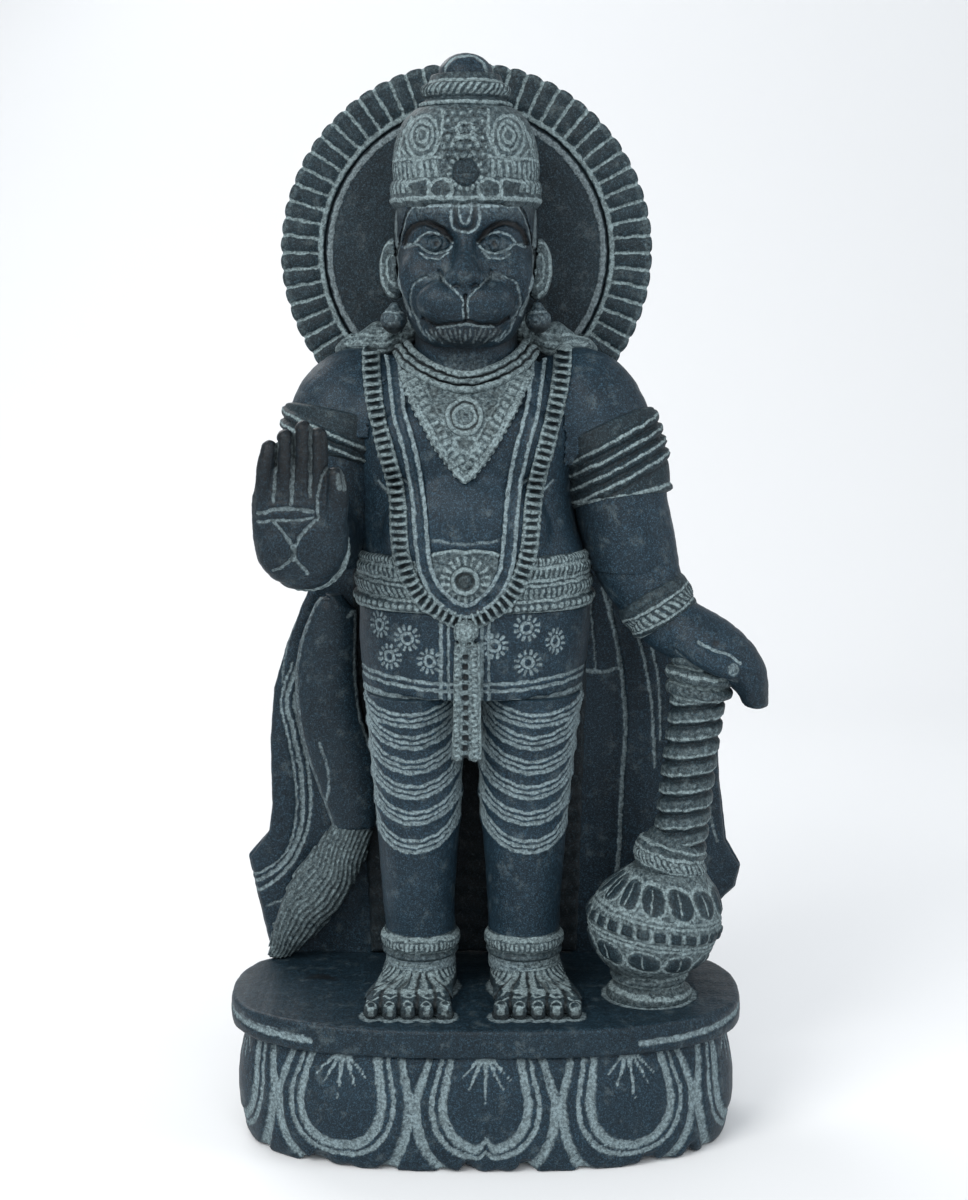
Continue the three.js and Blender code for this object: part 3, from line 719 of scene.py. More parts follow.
# Each leg: how far its middle leans to the side, and its half width, at LEG_HEIGHTS.
RIGHT_LEG = ((3.5, 3.5, 2.5, 2.5, 2.5, 1.0, -0.5), (20, 20, 20.5, 22.5, 24.5, 26, 26.5))
LEFT_LEG = ((-3.5, -3.5, -3.5, -3.5, -3.5, -1.5, 1.0), (20.5, 20.5, 21, 23, 25.5, 27, 28))
right_leg_form, right_leg_low = leg_form("right_leg", *RIGHT_LEG)
left_leg_form, left_leg_low = leg_form("left_leg", *LEFT_LEG)


def leg_piece(node, form, low, centre, wide, inner):
    """Thigh cloth drawn as sets of three hanging folds, over a bare shin."""
    front = toward_front(low[1] + 48)
    chart = front_chart(low)
    marks = []
    for number, height in enumerate((150, 137, 123, 108.5, 93.5, 77)):
        middle = np.interp(height, LEG_HEIGHTS, centre)
        half = np.interp(height, LEG_HEIGHTS, wide) + 1.5
        rise = 20 if number else 12
        for step, (width, pale) in enumerate(((1.8, 0.9), (1.8, 1.0), (2.7, 0.95))):
            z = height - 3.2 * step
            grow_wide = 1 + 0.02 * step
            points = []
            for t in np.linspace(-1, 1, 13):
                off = math.sin(t * 1.45) / math.sin(1.45)
                lift = rise * (0.62 * off ** 2 + 0.38 * off ** 8) + 2.0 * inner * off
                points.append((middle + half * grow_wide * off, z + lift))
            marks.append(stroke(chart, points, width, 0.8, pale, smooth=False, facing=front))
            if step == 1:
                marks.append(stroke(chart, points, 13.0, -1.1, 0.0, smooth=False, facing=front))
    cuff = corners(node.replace("leg", "anklet"))[0][2]
    marks.append(Mark(lambda p: np.clip(cuff + 2 - p[:, 2], 0, 1), 0.0, 0.62))
    marks.append(Mark(lambda p: fade(np.abs(p[:, 2] - cuff + 3.5), 1.0), 0.5, 0.9))
    # Painted shade towards the back of the leg, where it joins the slab.
    piece(node, form, marks, 0.8, painted_shade=growing(0.8, 1, low[1] + 38, low[1] + 48))


def anklet_piece(node):
    axis = spot(node, 0.5, 0.5, 0)
    sections = [
        (-1, 0, 0, 20, 22), (1.0, 0, 0, 22, 24.5), (2.5, 0, 0, 21.5, 24), (4.0, 0, 0, 20.6, 23),
        (5.5, 0, 0, 22.6, 25.3), (9, 0, 0, 23.2, 26), (11.0, 0, 0, 22.3, 25), (12.0, 0, 0, 20.6, 23.2),
        (13.2, 0, 0, 21, 23.6), (14.5, 0, 0, 19.5, 22),
    ]
    chart = wrap_chart(axis, 23, sag=-1.5, half_width=24)
    marks = [
        teeth(chart, 4.8, 9.4, 2.6, 0.42, 0.6, 0.9),
        level_line(chart, 11.6, 1.4, 0.3, 1.0),
        level_line(chart, 3.6, 1.3, 0.3, 0.9),
        level_line(chart, 10.4, 1.2, 0.2, 0.8),
    ]
    piece(node, oval_stack(axis, sections, 2, 0.6), marks, 0.7, pale=0.25)


def leg_pieces():
    leg_piece("right_leg", right_leg_form, right_leg_low, *RIGHT_LEG, 1)
    leg_piece("left_leg", left_leg_form, left_leg_low, *LEFT_LEG, -1)
    anklet_piece("right_anklet")
    anklet_piece("left_anklet")
    foot_piece("right_foot", right_foot_form, right_sole, right_heel)
    foot_piece("left_foot", left_foot_form, left_sole, left_heel)


# ---- Mace ----
mace_foot_low = spot("mace_foot", 0.5, 0.5, 0)
mace_foot_form = turned(mace_foot_low, [
    (-1, 0, 24.5), (3.5, 0, 24), (5.5, 0, 21), (8, 0, 20), (10.5, 0, 22), (13, 0, 22.5),
    (14.5, 0.4, 20.5), (18, 0.5, 24),
], 0.8)


def mace_pieces():
    chart = wrap_chart(mace_foot_low, 22, lean=0.05)
    marks = [
        level_line(chart, 4.2, 2.4, 0.2, 0.9),
        level_line(chart, 9.5, 1.6, 0.2, 0.9),
        level_line(chart, 14.6, 1.6, 0.3, 0.9),
    ]
    piece("mace_foot", mace_foot_form, marks, 0.8, pale=0.3)
    mace_bulb()
    mace_collar()
    mace_shaft()


def mace_bulb():
    """The ball: a belt of square bosses between two rows of veined petals."""
    low = spot("mace_bulb", 0.5, 0.5, 0)
    ball = turned(low, [
        (-1, -2, 23), (8, -1, 32), (18, -0.5, 36.3), (26, 0, 38.2), (32, 0, 38.2), (42, 1.5, 34.6),
        (51, 4, 27.5), (59, 6.5, 19.5),
    ], 1)
    chart = wrap_chart(low, 37, lean=0.16)
    marks = []
    for level, width in ((36.5, 1.6), (33.8, 1.4), (22.4, 1.4), (19.8, 1.6)):
        marks.append(level_line(chart, level, width, 0.8, 1.0))

    def boss(p):
        u, v = chart(p)
        du = ((u / 9.0 + 0.5) % 1 - 0.5) * 9.0
        return np.maximum(np.abs(du), np.abs(v - 28.0)) - 3.1
    marks.append(Mark(lambda p: np.clip(-boss(p), 0, 1), -1.5, -0.45))
    between = lambda p: np.clip(boss(p) + 0.2, 0, 1) * fade(np.abs(chart(p)[1] - 28.0), 5.6)
    marks.append(Mark(between, 0.3, 0.85))

    def petal_row(middle, half_high, half_wide, pitch, shift):
        def rho(p):
            """1 on a petal's edge, less inside it."""
            u, v = chart(p)
            shrink = np.interp(v, (0, 20, 37, 58), (0.66, 0.95, 0.95, 0.55))
            du = (((u + shift) / pitch + 0.5) % 1 - 0.5) * pitch * shrink
            return ((np.abs(du) / half_wide) ** 2.4 + (np.abs(v - middle) / half_high) ** 2.4) ** (1 / 2.4)

        def vein(p):
            u, v = chart(p)
            du = (((u + shift) / pitch + 0.5) % 1 - 0.5) * pitch
            return fade(np.abs(du + 0.8), 0.9) * np.clip((0.8 - rho(p)) * 4, 0, 1)

        def ground(p):
            near = fade(np.abs(chart(p)[1] - middle), half_high * 1.3)
            return np.clip((rho(p) - 1.1) * 3, 0, 1) * near
        return [
            Mark(lambda p: fade(np.abs(rho(p) - 1) * half_wide, 1.1), 0.7, 0.95),
            Mark(lambda p: np.clip((1 - rho(p)) * 2.5, 0, 1), -1.0, -0.35),
            Mark(ground, 0.2, 0.85),
            Mark(vein, 0.4, 0.75),
        ]
    marks += petal_row(46, 8.2, 6.6, 17.6, 4.0)
    marks += petal_row(11, 6.4, 8.8, 23.2, 9.0)
    piece("mace_bulb", ball, marks, 0.7, pale=0.38)


def mace_collar():
    low = spot("mace_collar", 0.5, 0.5, 0)
    stations = [
        (-3.2, 0, 3.5, 18, 18), (-1.6, 0, 8.5, 21.2, 21.2), (-0.5, 0, 12, 22, 22), (1.2, 0, 15.5, 21, 21),
        (2.2, 0, 17.5, 17.5, 17.5), (3.4, 0, 20.5, 18, 18), (4.6, 0, 23, 15.5, 15.5),
    ]
    chart = wrap_chart(low, 21, lean=0.25)
    marks = [
        teeth(chart, 8.6, 14.6, 3.4, 0.45, 0.7, 0.85, slant=0.6),
        level_line(chart, 15.6, 1.4, 0.2, 1.0),
        level_line(chart, 8.0, 1.2, 0.4, 0.9),
        level_line(chart, 20.4, 1.2, 0.1, 0.9),
    ]
    piece("mace_collar", limb(low, stations, 14, cap=0.12), marks, 0.7, pale=0.25)


def mace_shaft():
    """A rod with a twisted groove, topped by three rings."""
    low = spot("mace_shaft", 0.5, 0.5, 0)
    stations = [
        (-6.2, 2.6, -4, 15.4, 15.4), (-5.4, 2.5, 1.7, 15.4, 15.4), (-1.4, 0.5, 43.7, 15.4, 15.4),
        (2.6, -0.5, 79.7, 15.6, 15.6), (5.6, -1.5, 112, 16, 16),
    ]
    rod = limb(low, stations, 16, cap=0.15)
    twist_top = low[2] + 84
    tilted = lambda p: p[:, 2] + 0.12 * (p[:, 0] - low[0]) - low[2]

    def twist(p):
        x = p[:, 0] - low[0] + 5.4 - 0.1 * (p[:, 2] - low[2])
        y = p[:, 1] - low[1] - 2.5 + 0.035 * (p[:, 2] - low[2])
        angle = np.arctan2(x, -y) / (2 * math.pi)
        return (p[:, 2] - low[2]) / 10.2 - angle

    def valley(p):
        phase = np.abs((twist(p) % 1) - 0.5) * 2
        return np.clip((phase - 0.42) / 0.58, 0, 1) ** 1.3 * (p[:, 2] < twist_top)

    def lip(p):
        return fade(np.abs(twist(p) % 1 - 0.30), 0.12) * (p[:, 2] < twist_top)

    def ring(level, thick, out):
        return Mark(lambda p: np.sqrt(np.clip(1 - ((tilted(p) - level) / thick) ** 2, 0, 1)), -out, 0.15)

    def ring_line(level):
        return Mark(lambda p: fade(np.abs(tilted(p) - level), 1.2), 0.4, 0.9)
    # The twisted groove is darkened with painted shade.
    marks = [Mark(valley, 2.8, -0.35, 0.35), Mark(lip, 0.0, 0.75)]
    marks += [ring(90, 3.6, 3.4), ring(98.5, 4.2, 4.4), ring(107, 3.4, 3.0)]
    marks += [ring_line(level) for level in (86.2, 93.8, 99.5, 103.6)]
    piece("mace_shaft", rod, marks, 0.7, pale=0.28)


# ---- Trunk ----
trunk = spot("waist_belt", 0.5, 0.5, 0)
torso_form = oval_stack(trunk, [
    (22, -1, 1.9, 63, 50), (30.3, -1, 1.9, 63, 50), (44, -3.5, 2.9, 61, 49),
    (60, -4.5, 4.9, 60, 47), (78, -5.5, 5.9, 62, 47), (94, -4.5, 5.9, 64, 46),
    (108, -4.5, 6.9, 64, 43), (119, -4.5, 8.9, 58, 38), (128, -4.5, 10.9, 47, 31),
    (135, -4.5, 11.9, 35, 24),
], 2.3, 3)
hip_form = oval_stack(trunk, [
    (-51, -1, 2.9, 62.5, 45), (-38, -0.5, 2.9, 63.5, 47), (-18, 0, 1.9, 65, 49),
    (-0.3, 0.5, 1.9, 65, 50),
], 2.3, 2)
belt_form = oval_stack(trunk, [
    (-1, 0, 1.9, 66, 51), (1, 0, 1.9, 67.5, 52.5), (6, 0, 1.9, 67.5, 52.5),
    (8, 0, 1.9, 66, 51), (11, 0, 1.9, 67.5, 52.5), (15, -0.5, 1.9, 67.5, 52.5),
    (17, -0.5, 1.9, 66, 51.5), (23, -0.5, 1.9, 67.5, 53), (25.5, -0.5, 1.9, 66, 51.5),
    (28, -1, 1.9, 66.5, 52), (30.5, -1, 1.9, 64.5, 50.5),
], 2.3, 1)
muscles = [
    ellipsoid(trunk + np.array([-29, -37, 92]), (24, 11, 19)),
    ellipsoid(trunk + np.array([20, -37, 92]), (24, 11, 19)),
    ellipsoid(trunk + np.array([-4.5, -38, 46]), (44, 14, 26)),
]
bare_torso = blend(9, torso_form, *muscles)
right_shoulder_form = limb(spot("right_armlet", 0.5, 0.5, 0.5), [
    (29.3, 5, 35.9, 10, 12),
    (25.3, 5, 33.9, 12, 14),
    (18.3, 4, 27.9, 22, 22),
    (12.3, 2, 15.9, 30, 29),
    (7.3, 0, -0.1, 31, 31),
], 14)
left_shoulder_form = limb(spot("left_armlet", 0.5, 0.5, 0.5), [
    (-33.5, 6.6, 47.4, 10, 12),
    (-29.5, 6.6, 45.4, 12, 14),
    (-22.5, 5.6, 39.4, 22, 22),
    (-16.5, 3.6, 27.4, 30, 29),
    (-8.5, 1.6, 7.4, 31, 31),
], 14)
chest = blend(12, bare_torso, right_shoulder_form, left_shoulder_form)
under = blend(3, chest, belt_form, hip_form)
trunk_front = front_chart(trunk)


CHEST_MIDDLE = -4.5


def mirrored(points):
    return [(2 * CHEST_MIDDLE - u, v) for u, v in points]


def torso_piece():
    front = toward_front(trunk[1] - 8)
    marks = []
    crease = [(-52, 84), (-46, 78), (-36, 70), (-28, 66)]
    for points in (crease, mirrored(crease)):
        marks.append(stroke(trunk_front, points, 2.2, 1.2, 0.75, facing=front))
        marks.append(stroke(trunk_front, [(u, v - 14) for u, v in points[:3]], 1.6, 0.7, 0.6, facing=front))
    marks.append(stroke(trunk_front, [(-22, 40), (-4.5, 38), (13, 40)], 2.0, 0.8, 0.45, facing=front))
    inner_line = [(-42, 128), (-39, 108), (-32, 88), (-27, 61), (-25, 38)]
    for points in (inner_line, mirrored(inner_line)):
        marks.append(stroke(trunk_front, points, 2.6, 0.4, 0.8, facing=front))

    def rubbed(p):
        centre = np.hypot((p[:, 0] - trunk[0] + 4.5) / 30, (p[:, 2] - trunk[2] - 60) / 60)
        return np.clip(1.2 - centre, 0, 1) * (p[:, 1] < trunk[1] - 20)
    marks.append(Mark(rubbed, 0, 0.1))
    # Painted shade that grows towards the back of the trunk, below the chest.
    dark = lambda p: 0.55 * np.clip((p[:, 1] - trunk[1] + 22) / 18, 0, 1) * (p[:, 2] < trunk[2] + 90)
    piece("torso", bare_torso, marks, 0.85, painted_shade=dark)


def rosette(centre, squeeze=1.0):
    """A ring with a round of petals, drawn with a point on the cloth."""
    def cover(p):
        u, v = trunk_front(p)
        du, dv = (u - centre[0]) / squeeze, v - centre[1]
        r = np.hypot(du, dv)
        ring = fade(np.abs(r - 2.9), 1.25)
        turn = np.arctan2(dv, du) / (2 * math.pi) * 12
        between = np.clip((r - 4.2) / 0.7, 0, 1) * np.clip((7.8 - r) / 0.7, 0, 1)
        petal = fade(np.abs((turn % 1) - 0.5) * r * 0.52, 1.15) * between
        return np.maximum(ring, petal) * (p[:, 1] < trunk[1])
    return Mark(cover, 0.7, 1.0)


def hip_piece():
    marks = []
    for x, z, squeeze in (
        (-52, -9, 0.75), (-36.5, -15, 1), (-46.5, -26.5, 0.9), (-24, -27.5, 1),
        (11.3, -18.5, 1), (28.8, -9, 1), (29.6, -28.5, 1), (44.6, -17.5, 0.75),
    ):
        marks.append(rosette((x, z), squeeze))
    chart = wrap_chart(trunk, 60, sag=5, half_width=64)
    front = toward_front(trunk[1] + 6)
    for level, width in ((-35.5, 2.2), (-39.5, 2.2), (-46, 2.4)):
        marks.append(level_line(chart, level, width, 0.9, 1.0, facing=front))
    marks.append(Mark(lambda p: np.clip((-46.5 - chart(p)[1]) / 1.5, 0, 1) * front(p), 0.3, 0.75))
    for x, width in ((-18, 2.4), (-13.8, 1.4), (8.2, 1.4), (4.4, 2.4)):
        marks.append(stroke(trunk_front, [(x, -1), (x, -51)], width, 0.8, 0.95, facing=front))
    # Painted shade towards the back of the hip cloth.
    piece("hip_cloth", hip_form, marks, 0.75, painted_shade=growing(0.75, 1, trunk[1] - 6, trunk[1] + 10))


def belt_piece():
    chart = wrap_chart(trunk, 60, sag=3, half_width=66)
    marks = [
        teeth(chart, 27.0, 31.5, 2.4, 0.42, 0.5, 0.95),
        level_line(chart, 26.0, 1.6, 0.4, 1.0),
        teeth(chart, 20.0, 26.0, 3.1, 0.34, 0.9, 1.0),
        level_line(chart, 19.0, 1.8, 0.3, 1.0),
        level_line(chart, 16.4, 1.4, 0.3, 0.95),
        teeth(chart, 9.0, 15.0, 3.4, 0.38, 0.9, 1.0, slant=0.25),
        level_line(chart, 8.2, 1.4, 0.3, 0.95),
        studs(chart, 4.4, 1.9, 4.4, -1.0, 0.95),
        level_line(chart, 1.4, 1.8, 0.3, 0.9),
    ]
    # Painted shade towards the back of the belt.
    dark = growing(0.6, 1, trunk[1] - 10, trunk[1] + 10)
    piece("waist_belt", belt_form, marks, 0.75, pale=0.2, painted_shade=dark)


# ---- Ornaments laid over the trunk ----
def trail(path, height, section):
    """A band over the trunk. section(n, h, s) is a distance across, above and along it."""
    path = smooth_rows(path, 6 * len(path))

    def form(p):
        n, s = polyline(*trunk_front(p), path)
        d = section(n, under(p) - height, s)
        return np.maximum(d, p[:, 1] - trunk[1] - 6)
    return form, path


def bead_garland():
    path = [
        (-57.5, 141), (-56.5, 129), (-53.5, 109), (-47.5, 88), (-41.5, 61), (-39.5, 32),
        (-31.5, 12), (-18.5, 1), (-4.5, -5), (9.5, 1), (21.5, 12), (29.5, 32), (32.5, 61),
        (38.5, 88), (44.5, 109), (48.5, 129), (49.5, 141),
    ]
    pitch = 4.2

    def gap(s):
        """0 in the middle of a tooth, 1 half way to the next."""
        return np.abs((s / pitch) % 1 - 0.5) * 2

    def beads(n, h, s):
        crown = 1.3 + 2.2 * np.clip(1.45 - 1.8 * gap(s), 0, 1) - 0.04 * n ** 2
        return smooth_max(n - 5.0, np.maximum(h - crown, -h - 4), 1.0)
    form, line = trail(path, 0.4, beads)

    def where(p):
        n, s = polyline(*trunk_front(p), line)
        return n, gap(s)

    def toothed(p):
        n, between = where(p)
        return np.maximum(np.clip(1.5 - 2 * between, 0, 1), fade(np.abs(n - 4.2), 1.1) * 0.8)

    def holes(p):
        n, between = where(p)
        return np.clip((between - 0.45) * 3, 0, 1) * np.clip((2.8 - n) / 1.2, 0, 1)
    # The holes between the beads are sunk and darkened with painted shade.
    marks = [Mark(toothed, 0, 0.85), Mark(holes, 0.7, -0.6)]
    piece("bead_garland", form, marks, 0.6, grow=(6, 6, 6, 6, 6, 14), pale=0.05,
          painted_shade=lambda p: 0.6 * holes(p))


def smooth_band():
    path = [
        (-46.5, 141), (-44, 129), (-40.5, 109), (-34.5, 88), (-30, 61), (-28, 37), (-25.5, 22), (-17.5, 9),
        (-4.5, 1.5), (8.5, 9), (16.5, 22), (19, 37), (21, 61), (25.5, 88), (31.5, 109),
        (35, 129), (37.5, 141),
    ]

    def strip(n, h, s):
        return smooth_max(n - 4.4, np.maximum(h, -h - 4), 1.2)
    form, line = trail(path, 2.6, strip)

    def rails(p):
        n, _ = polyline(*trunk_front(p), line)
        return fade(np.abs(n - 3.2), 1.5)

    def channel(p):
        n, _ = polyline(*trunk_front(p), line)
        return fade(n, 2.0)
    piece("smooth_band", form, [Mark(rails, 0.0, 1.0), Mark(channel, 1.0, 0.0)], 0.62,
          grow=(6, 6, 6, 6, 6, 14), pale=0.12)


def collar_piece():
    """Three raised cords round the neck."""
    path = np.array([
        (-42.5, 3.9, 140, 1, 1), (-36.5, -13.1, 133.5, 1, 1), (-22.5, -27.1, 126, 1, 1),
        (-4.5, -33.1, 122, 1, 1), (13.5, -27.1, 126, 1, 1), (27.5, -13.1, 133.5, 1, 1),
        (33.5, 3.9, 140, 1, 1),
    ])
    cords = []
    for step in range(3):
        rows = path.copy()
        rows[:, 0] = CHEST_MIDDLE + (rows[:, 0] - CHEST_MIDDLE) * (1.0 - 0.055 * step)
        rows[:, 1] += 1.5 * step + 0.5
        rows[:, 2] += 3.9 * step - 2.2
        rows[:, 3:] = 2.2
        cords.append(limb(trunk, rows, 16))
    solid = path.copy()
    solid[:, 2] += 1.5
    solid[:, 3:] = (4.2, 2.2)
    solid[:, 1] += 4.4
    form = blend(0.8, limb(trunk, solid, 16), *cords)

    def groove(p):
        """1 where two cords are equally near, which is the bottom of the groove between them."""
        near = np.sort(np.stack([cord(p) for cord in cords]), axis=0)
        return fade(near[1] - near[0], 1.5)
    # The grooves between the cords are darkened with painted shade.
    piece("collar_necklace", form, [Mark(groove, 0.8, -0.6, 0.75)], 0.6, pale=0.62)


def chest_pendant():
    """A yoke of petals and beads running down from the collar to a round boss and a drop."""
    yoke = [
        (-39.5, 128), (-33.5, 116), (-26.5, 104), (-18.5, 90), (-11.5, 80), (-4.5, 73),
        (2.5, 80), (9.5, 90), (17.5, 104), (24.5, 116), (30.5, 128),
    ]
    edge = smooth_rows(yoke, 50)
    boss = np.array((-5, 106))
    inner = polygon([
        (-40.5, 130), (-33.5, 116), (-26.5, 104), (-18.5, 91), (-11.5, 81), (-4.5, 73),
        (2.5, 81), (9.5, 91), (17.5, 104), (24.5, 116), (31.5, 130),
    ])

    def form(p):
        x, z = trunk_front(p)
        flat = inner(x, z)
        height = under(p)
        plate = smooth_max(flat, np.maximum(height - 2.2, -height - 3), 1.0)
        n, _ = polyline(x, z, edge)
        rim = np.hypot(n - 0.8, height - 2.0) - 1.5
        r = np.hypot(x - boss[0], z - boss[1])
        knob = smooth_max(r - 9.2, height - 3.6, 1.5)
        ring = np.hypot(r - 8.8, height - 3.2) - 1.5
        inner_ring = np.hypot(r - 5.6, height - 3.4) - 0.9
        drop = ellipsoid(trunk + np.array([boss[0] + 0.5, 0, boss[1] - 25]), (5.2, 60, 5.5))
        heart = smooth_max(drop(p), height - 3.6, 1.5)
        d = smooth_min(plate, rim, 0.8)
        for part in (knob, ring, inner_ring, heart):
            d = smooth_min(d, part, 0.6)
        return np.maximum(d, p[:, 1] - trunk[1] + 2)

    def petals(p):
        n, s = polyline(*trunk_front(p), edge)
        return fade(np.abs((s / 4.2) % 1 - 0.5) * 4.2, 1.7) * fade(np.abs(n - 4.6), 3.4)

    def outline(p):
        n, _ = polyline(*trunk_front(p), edge)
        return np.maximum(0.75 * fade(np.abs(n - 0.9), 1.3), 0.7 * fade(np.abs(n - 8.6), 1.0))

    def around_boss(p):
        return np.hypot(p[:, 0] - trunk[0] - boss[0], p[:, 2] - trunk[2] - boss[1])
    marks = [
        Mark(lambda p: petals(p) * (around_boss(p) > 10.5), -0.9, 1.0),
        Mark(lambda p: outline(p) * (around_boss(p) > 10.5), 0.0, 0.95),
        Mark(lambda p: fade(np.abs(around_boss(p) - 8.9), 1.9), 0, 1.0),
        Mark(lambda p: fade(np.abs(around_boss(p) - 5.8), 1.5), 0.0, 1.0),
        # The groove between the boss's rings is darkened with painted shade.
        Mark(lambda p: fade(np.abs(around_boss(p) - 7.3), 0.8), 0.5, 0.0, 0.7),
    ]
    # The sunk pits round and below the boss are darkened with painted shade.
    for dx, dz in ((-15, 3), (14.5, 3), (-13, -7), (13, -7), (-17, 12), (17, 12)):
        marks.append(oval_patch(trunk_front, (boss[0] + dx, boss[1] + dz), 3.4, 3.8, 0.6, 0, 0.35))
    marks.append(oval_patch(trunk_front, (boss[0] + 0.5, boss[1] - 15), 5.2, 3.0, 0.5, 0.0, 0.3))
    marks.append(oval_line(trunk_front, (boss[0] + 0.5, boss[1] - 15), 6.6, 4.4, 1.4, 0.0, 1.0))
    piece("chest_pendant", form, marks, 0.6, grow=(26, 4, 6, 26, 20, 14), pale=0.38)


def belt_medallion():
    """A round boss in a ring of beads on a plate that fills the lower end of the band."""
    centre = np.array((CHEST_MIDDLE, 18))
    plate_line = polygon([
        (-22.5, 33), (-4.5, 35), (13.5, 33), (13.5, 22), (7.5, 12), (-4.5, 4.5), (-16.5, 12),
        (-22.5, 22),
    ])

    def form(p):
        x, z = trunk_front(p)
        r = np.hypot(x - centre[0], z - centre[1])
        height = under(p)
        plate = smooth_max(plate_line(x, z), np.maximum(height - 1.5, -height - 3), 1)
        disc = smooth_max(r - 8, height - 3.0, 1.4)
        ring = np.hypot(r - 6.6, height - 3.2) - 1.3
        knob = np.sqrt(r * r + (height - 2.6) ** 2) - 3.4
        d = smooth_min(smooth_min(plate, disc, 1), smooth_min(ring, knob, 0.6), 0.6)
        return np.maximum(d, p[:, 1] - trunk[1] + 10)

    def r_of(p):
        return np.hypot(p[:, 0] - trunk[0] - centre[0], p[:, 2] - trunk[2] - centre[1])

    def rays(p):
        u, v = trunk_front(p)
        turn = np.arctan2(v - centre[1], u - centre[0]) / (2 * math.pi) * 18
        between = np.clip((r_of(p) - 8.2) / 0.8, 0, 1) * (r_of(p) < 13.5)
        return fade(np.abs((turn % 1) - 0.5) * 2, 0.62) * between
    marks = [
        Mark(rays, -0.5, 1.0),
        Mark(lambda p: fade(np.abs(r_of(p) - 6.7), 1.7), 0, 1.0),
        # The groove round the knob and the dimple in its middle are darkened with painted shade.
        Mark(lambda p: fade(np.abs(r_of(p) - 4.3), 1.0), 0.5, 0, 0.7),
        Mark(lambda p: np.clip(3 - r_of(p), 0, 1), 0.3, 0, 0.5),
        stroke(trunk_front, [(-22, 32), (-13, 34.5), (-4.5, 33.5), (4, 34.5), (13, 32)], 2.6, -0.8, 1.0),
    ]
    piece("belt_medallion", form, marks, 0.6, grow=(9, 2, 5, 9, 3, 9), pale=0.3)


def sash_piece():
    low = spot("front_sash", 0.5, 0, 0)
    body = slab_form(polygon([(-8.6, 1), (8.6, 1), (7.6, 66), (-6.6, 66)]), low[1] + 3.4, low[1] + 19, 1.6)
    body_at = lambda p: body(p - np.array([low[0], 0, low[2]]))
    knot = ellipsoid(low + np.array([-0.5, 7.5, 72]), (7.2, 6.8, 7.0))
    form = blend(1.5, body_at, knot)
    chart = front_chart(low)

    def ladder(p):
        u, v = chart(p)
        step = (v / 5.6) % 1
        rung = np.clip((0.62 - np.abs(step - 0.5) * 2) * 3, 0, 1)
        return fade(np.abs(u + 0.5), 2.2) * rung * (v < 60)

    def side_pips(p):
        u, v = chart(p)
        step = np.abs(((v / 2.8) % 1) - 0.5) * 2
        return fade(step, 0.75) * fade(np.abs(np.abs(u + 0.5) - 5.0), 2.2) * (v < 62)
    marks = [
        Mark(side_pips, -0.8, 1.0),
        # The ladder groove is darkened with painted shade.
        Mark(ladder, 1.4, -0.9, 0.75),
        stroke(chart, [(-7.8, 2), (-7.0, 64)], 1.3, 0.5, 0.3),
        stroke(chart, [(8.0, 2), (7.2, 64)], 1.8, 0.4, 0.9),
        teeth(chart, 64, 78, 3.0, 0.42, 0.7, 1.0),
    ]
    # Painted shade along the lower edge of the sash.
    dark = growing(0.85, 2, low[2] + 2.5, low[2] + 0.5)
    piece("front_sash", form, marks, 0.6, pale=0.5, painted_shade=dark)


def ornament_pieces():
    torso_piece()
    hip_piece()
    belt_piece()
    bead_garland()
    smooth_band()
    collar_piece()
    chest_pendant()
    belt_medallion()
    sash_piece()


# ---- Head ----
head_mid = spot("head", 0.5, 0.5, 0)
skull = oval_stack(head_mid, [
    (-2, 0, -3.5, 14, 22), (1, 0, -3.5, 20, 29), (5, 0, -0.5, 26, 36),
    (15, 0, 3.5, 32, 41.5), (30, 0, 5.5, 36, 41), (49, 0, 7.5, 39, 41),
    (65, 0, 8.5, 39.5, 41), (76.7, 0, 8.5, 38.5, 40), (80, 0, 8.5, 37, 38),
], 2.2, 2)
face = front_chart(head_mid)


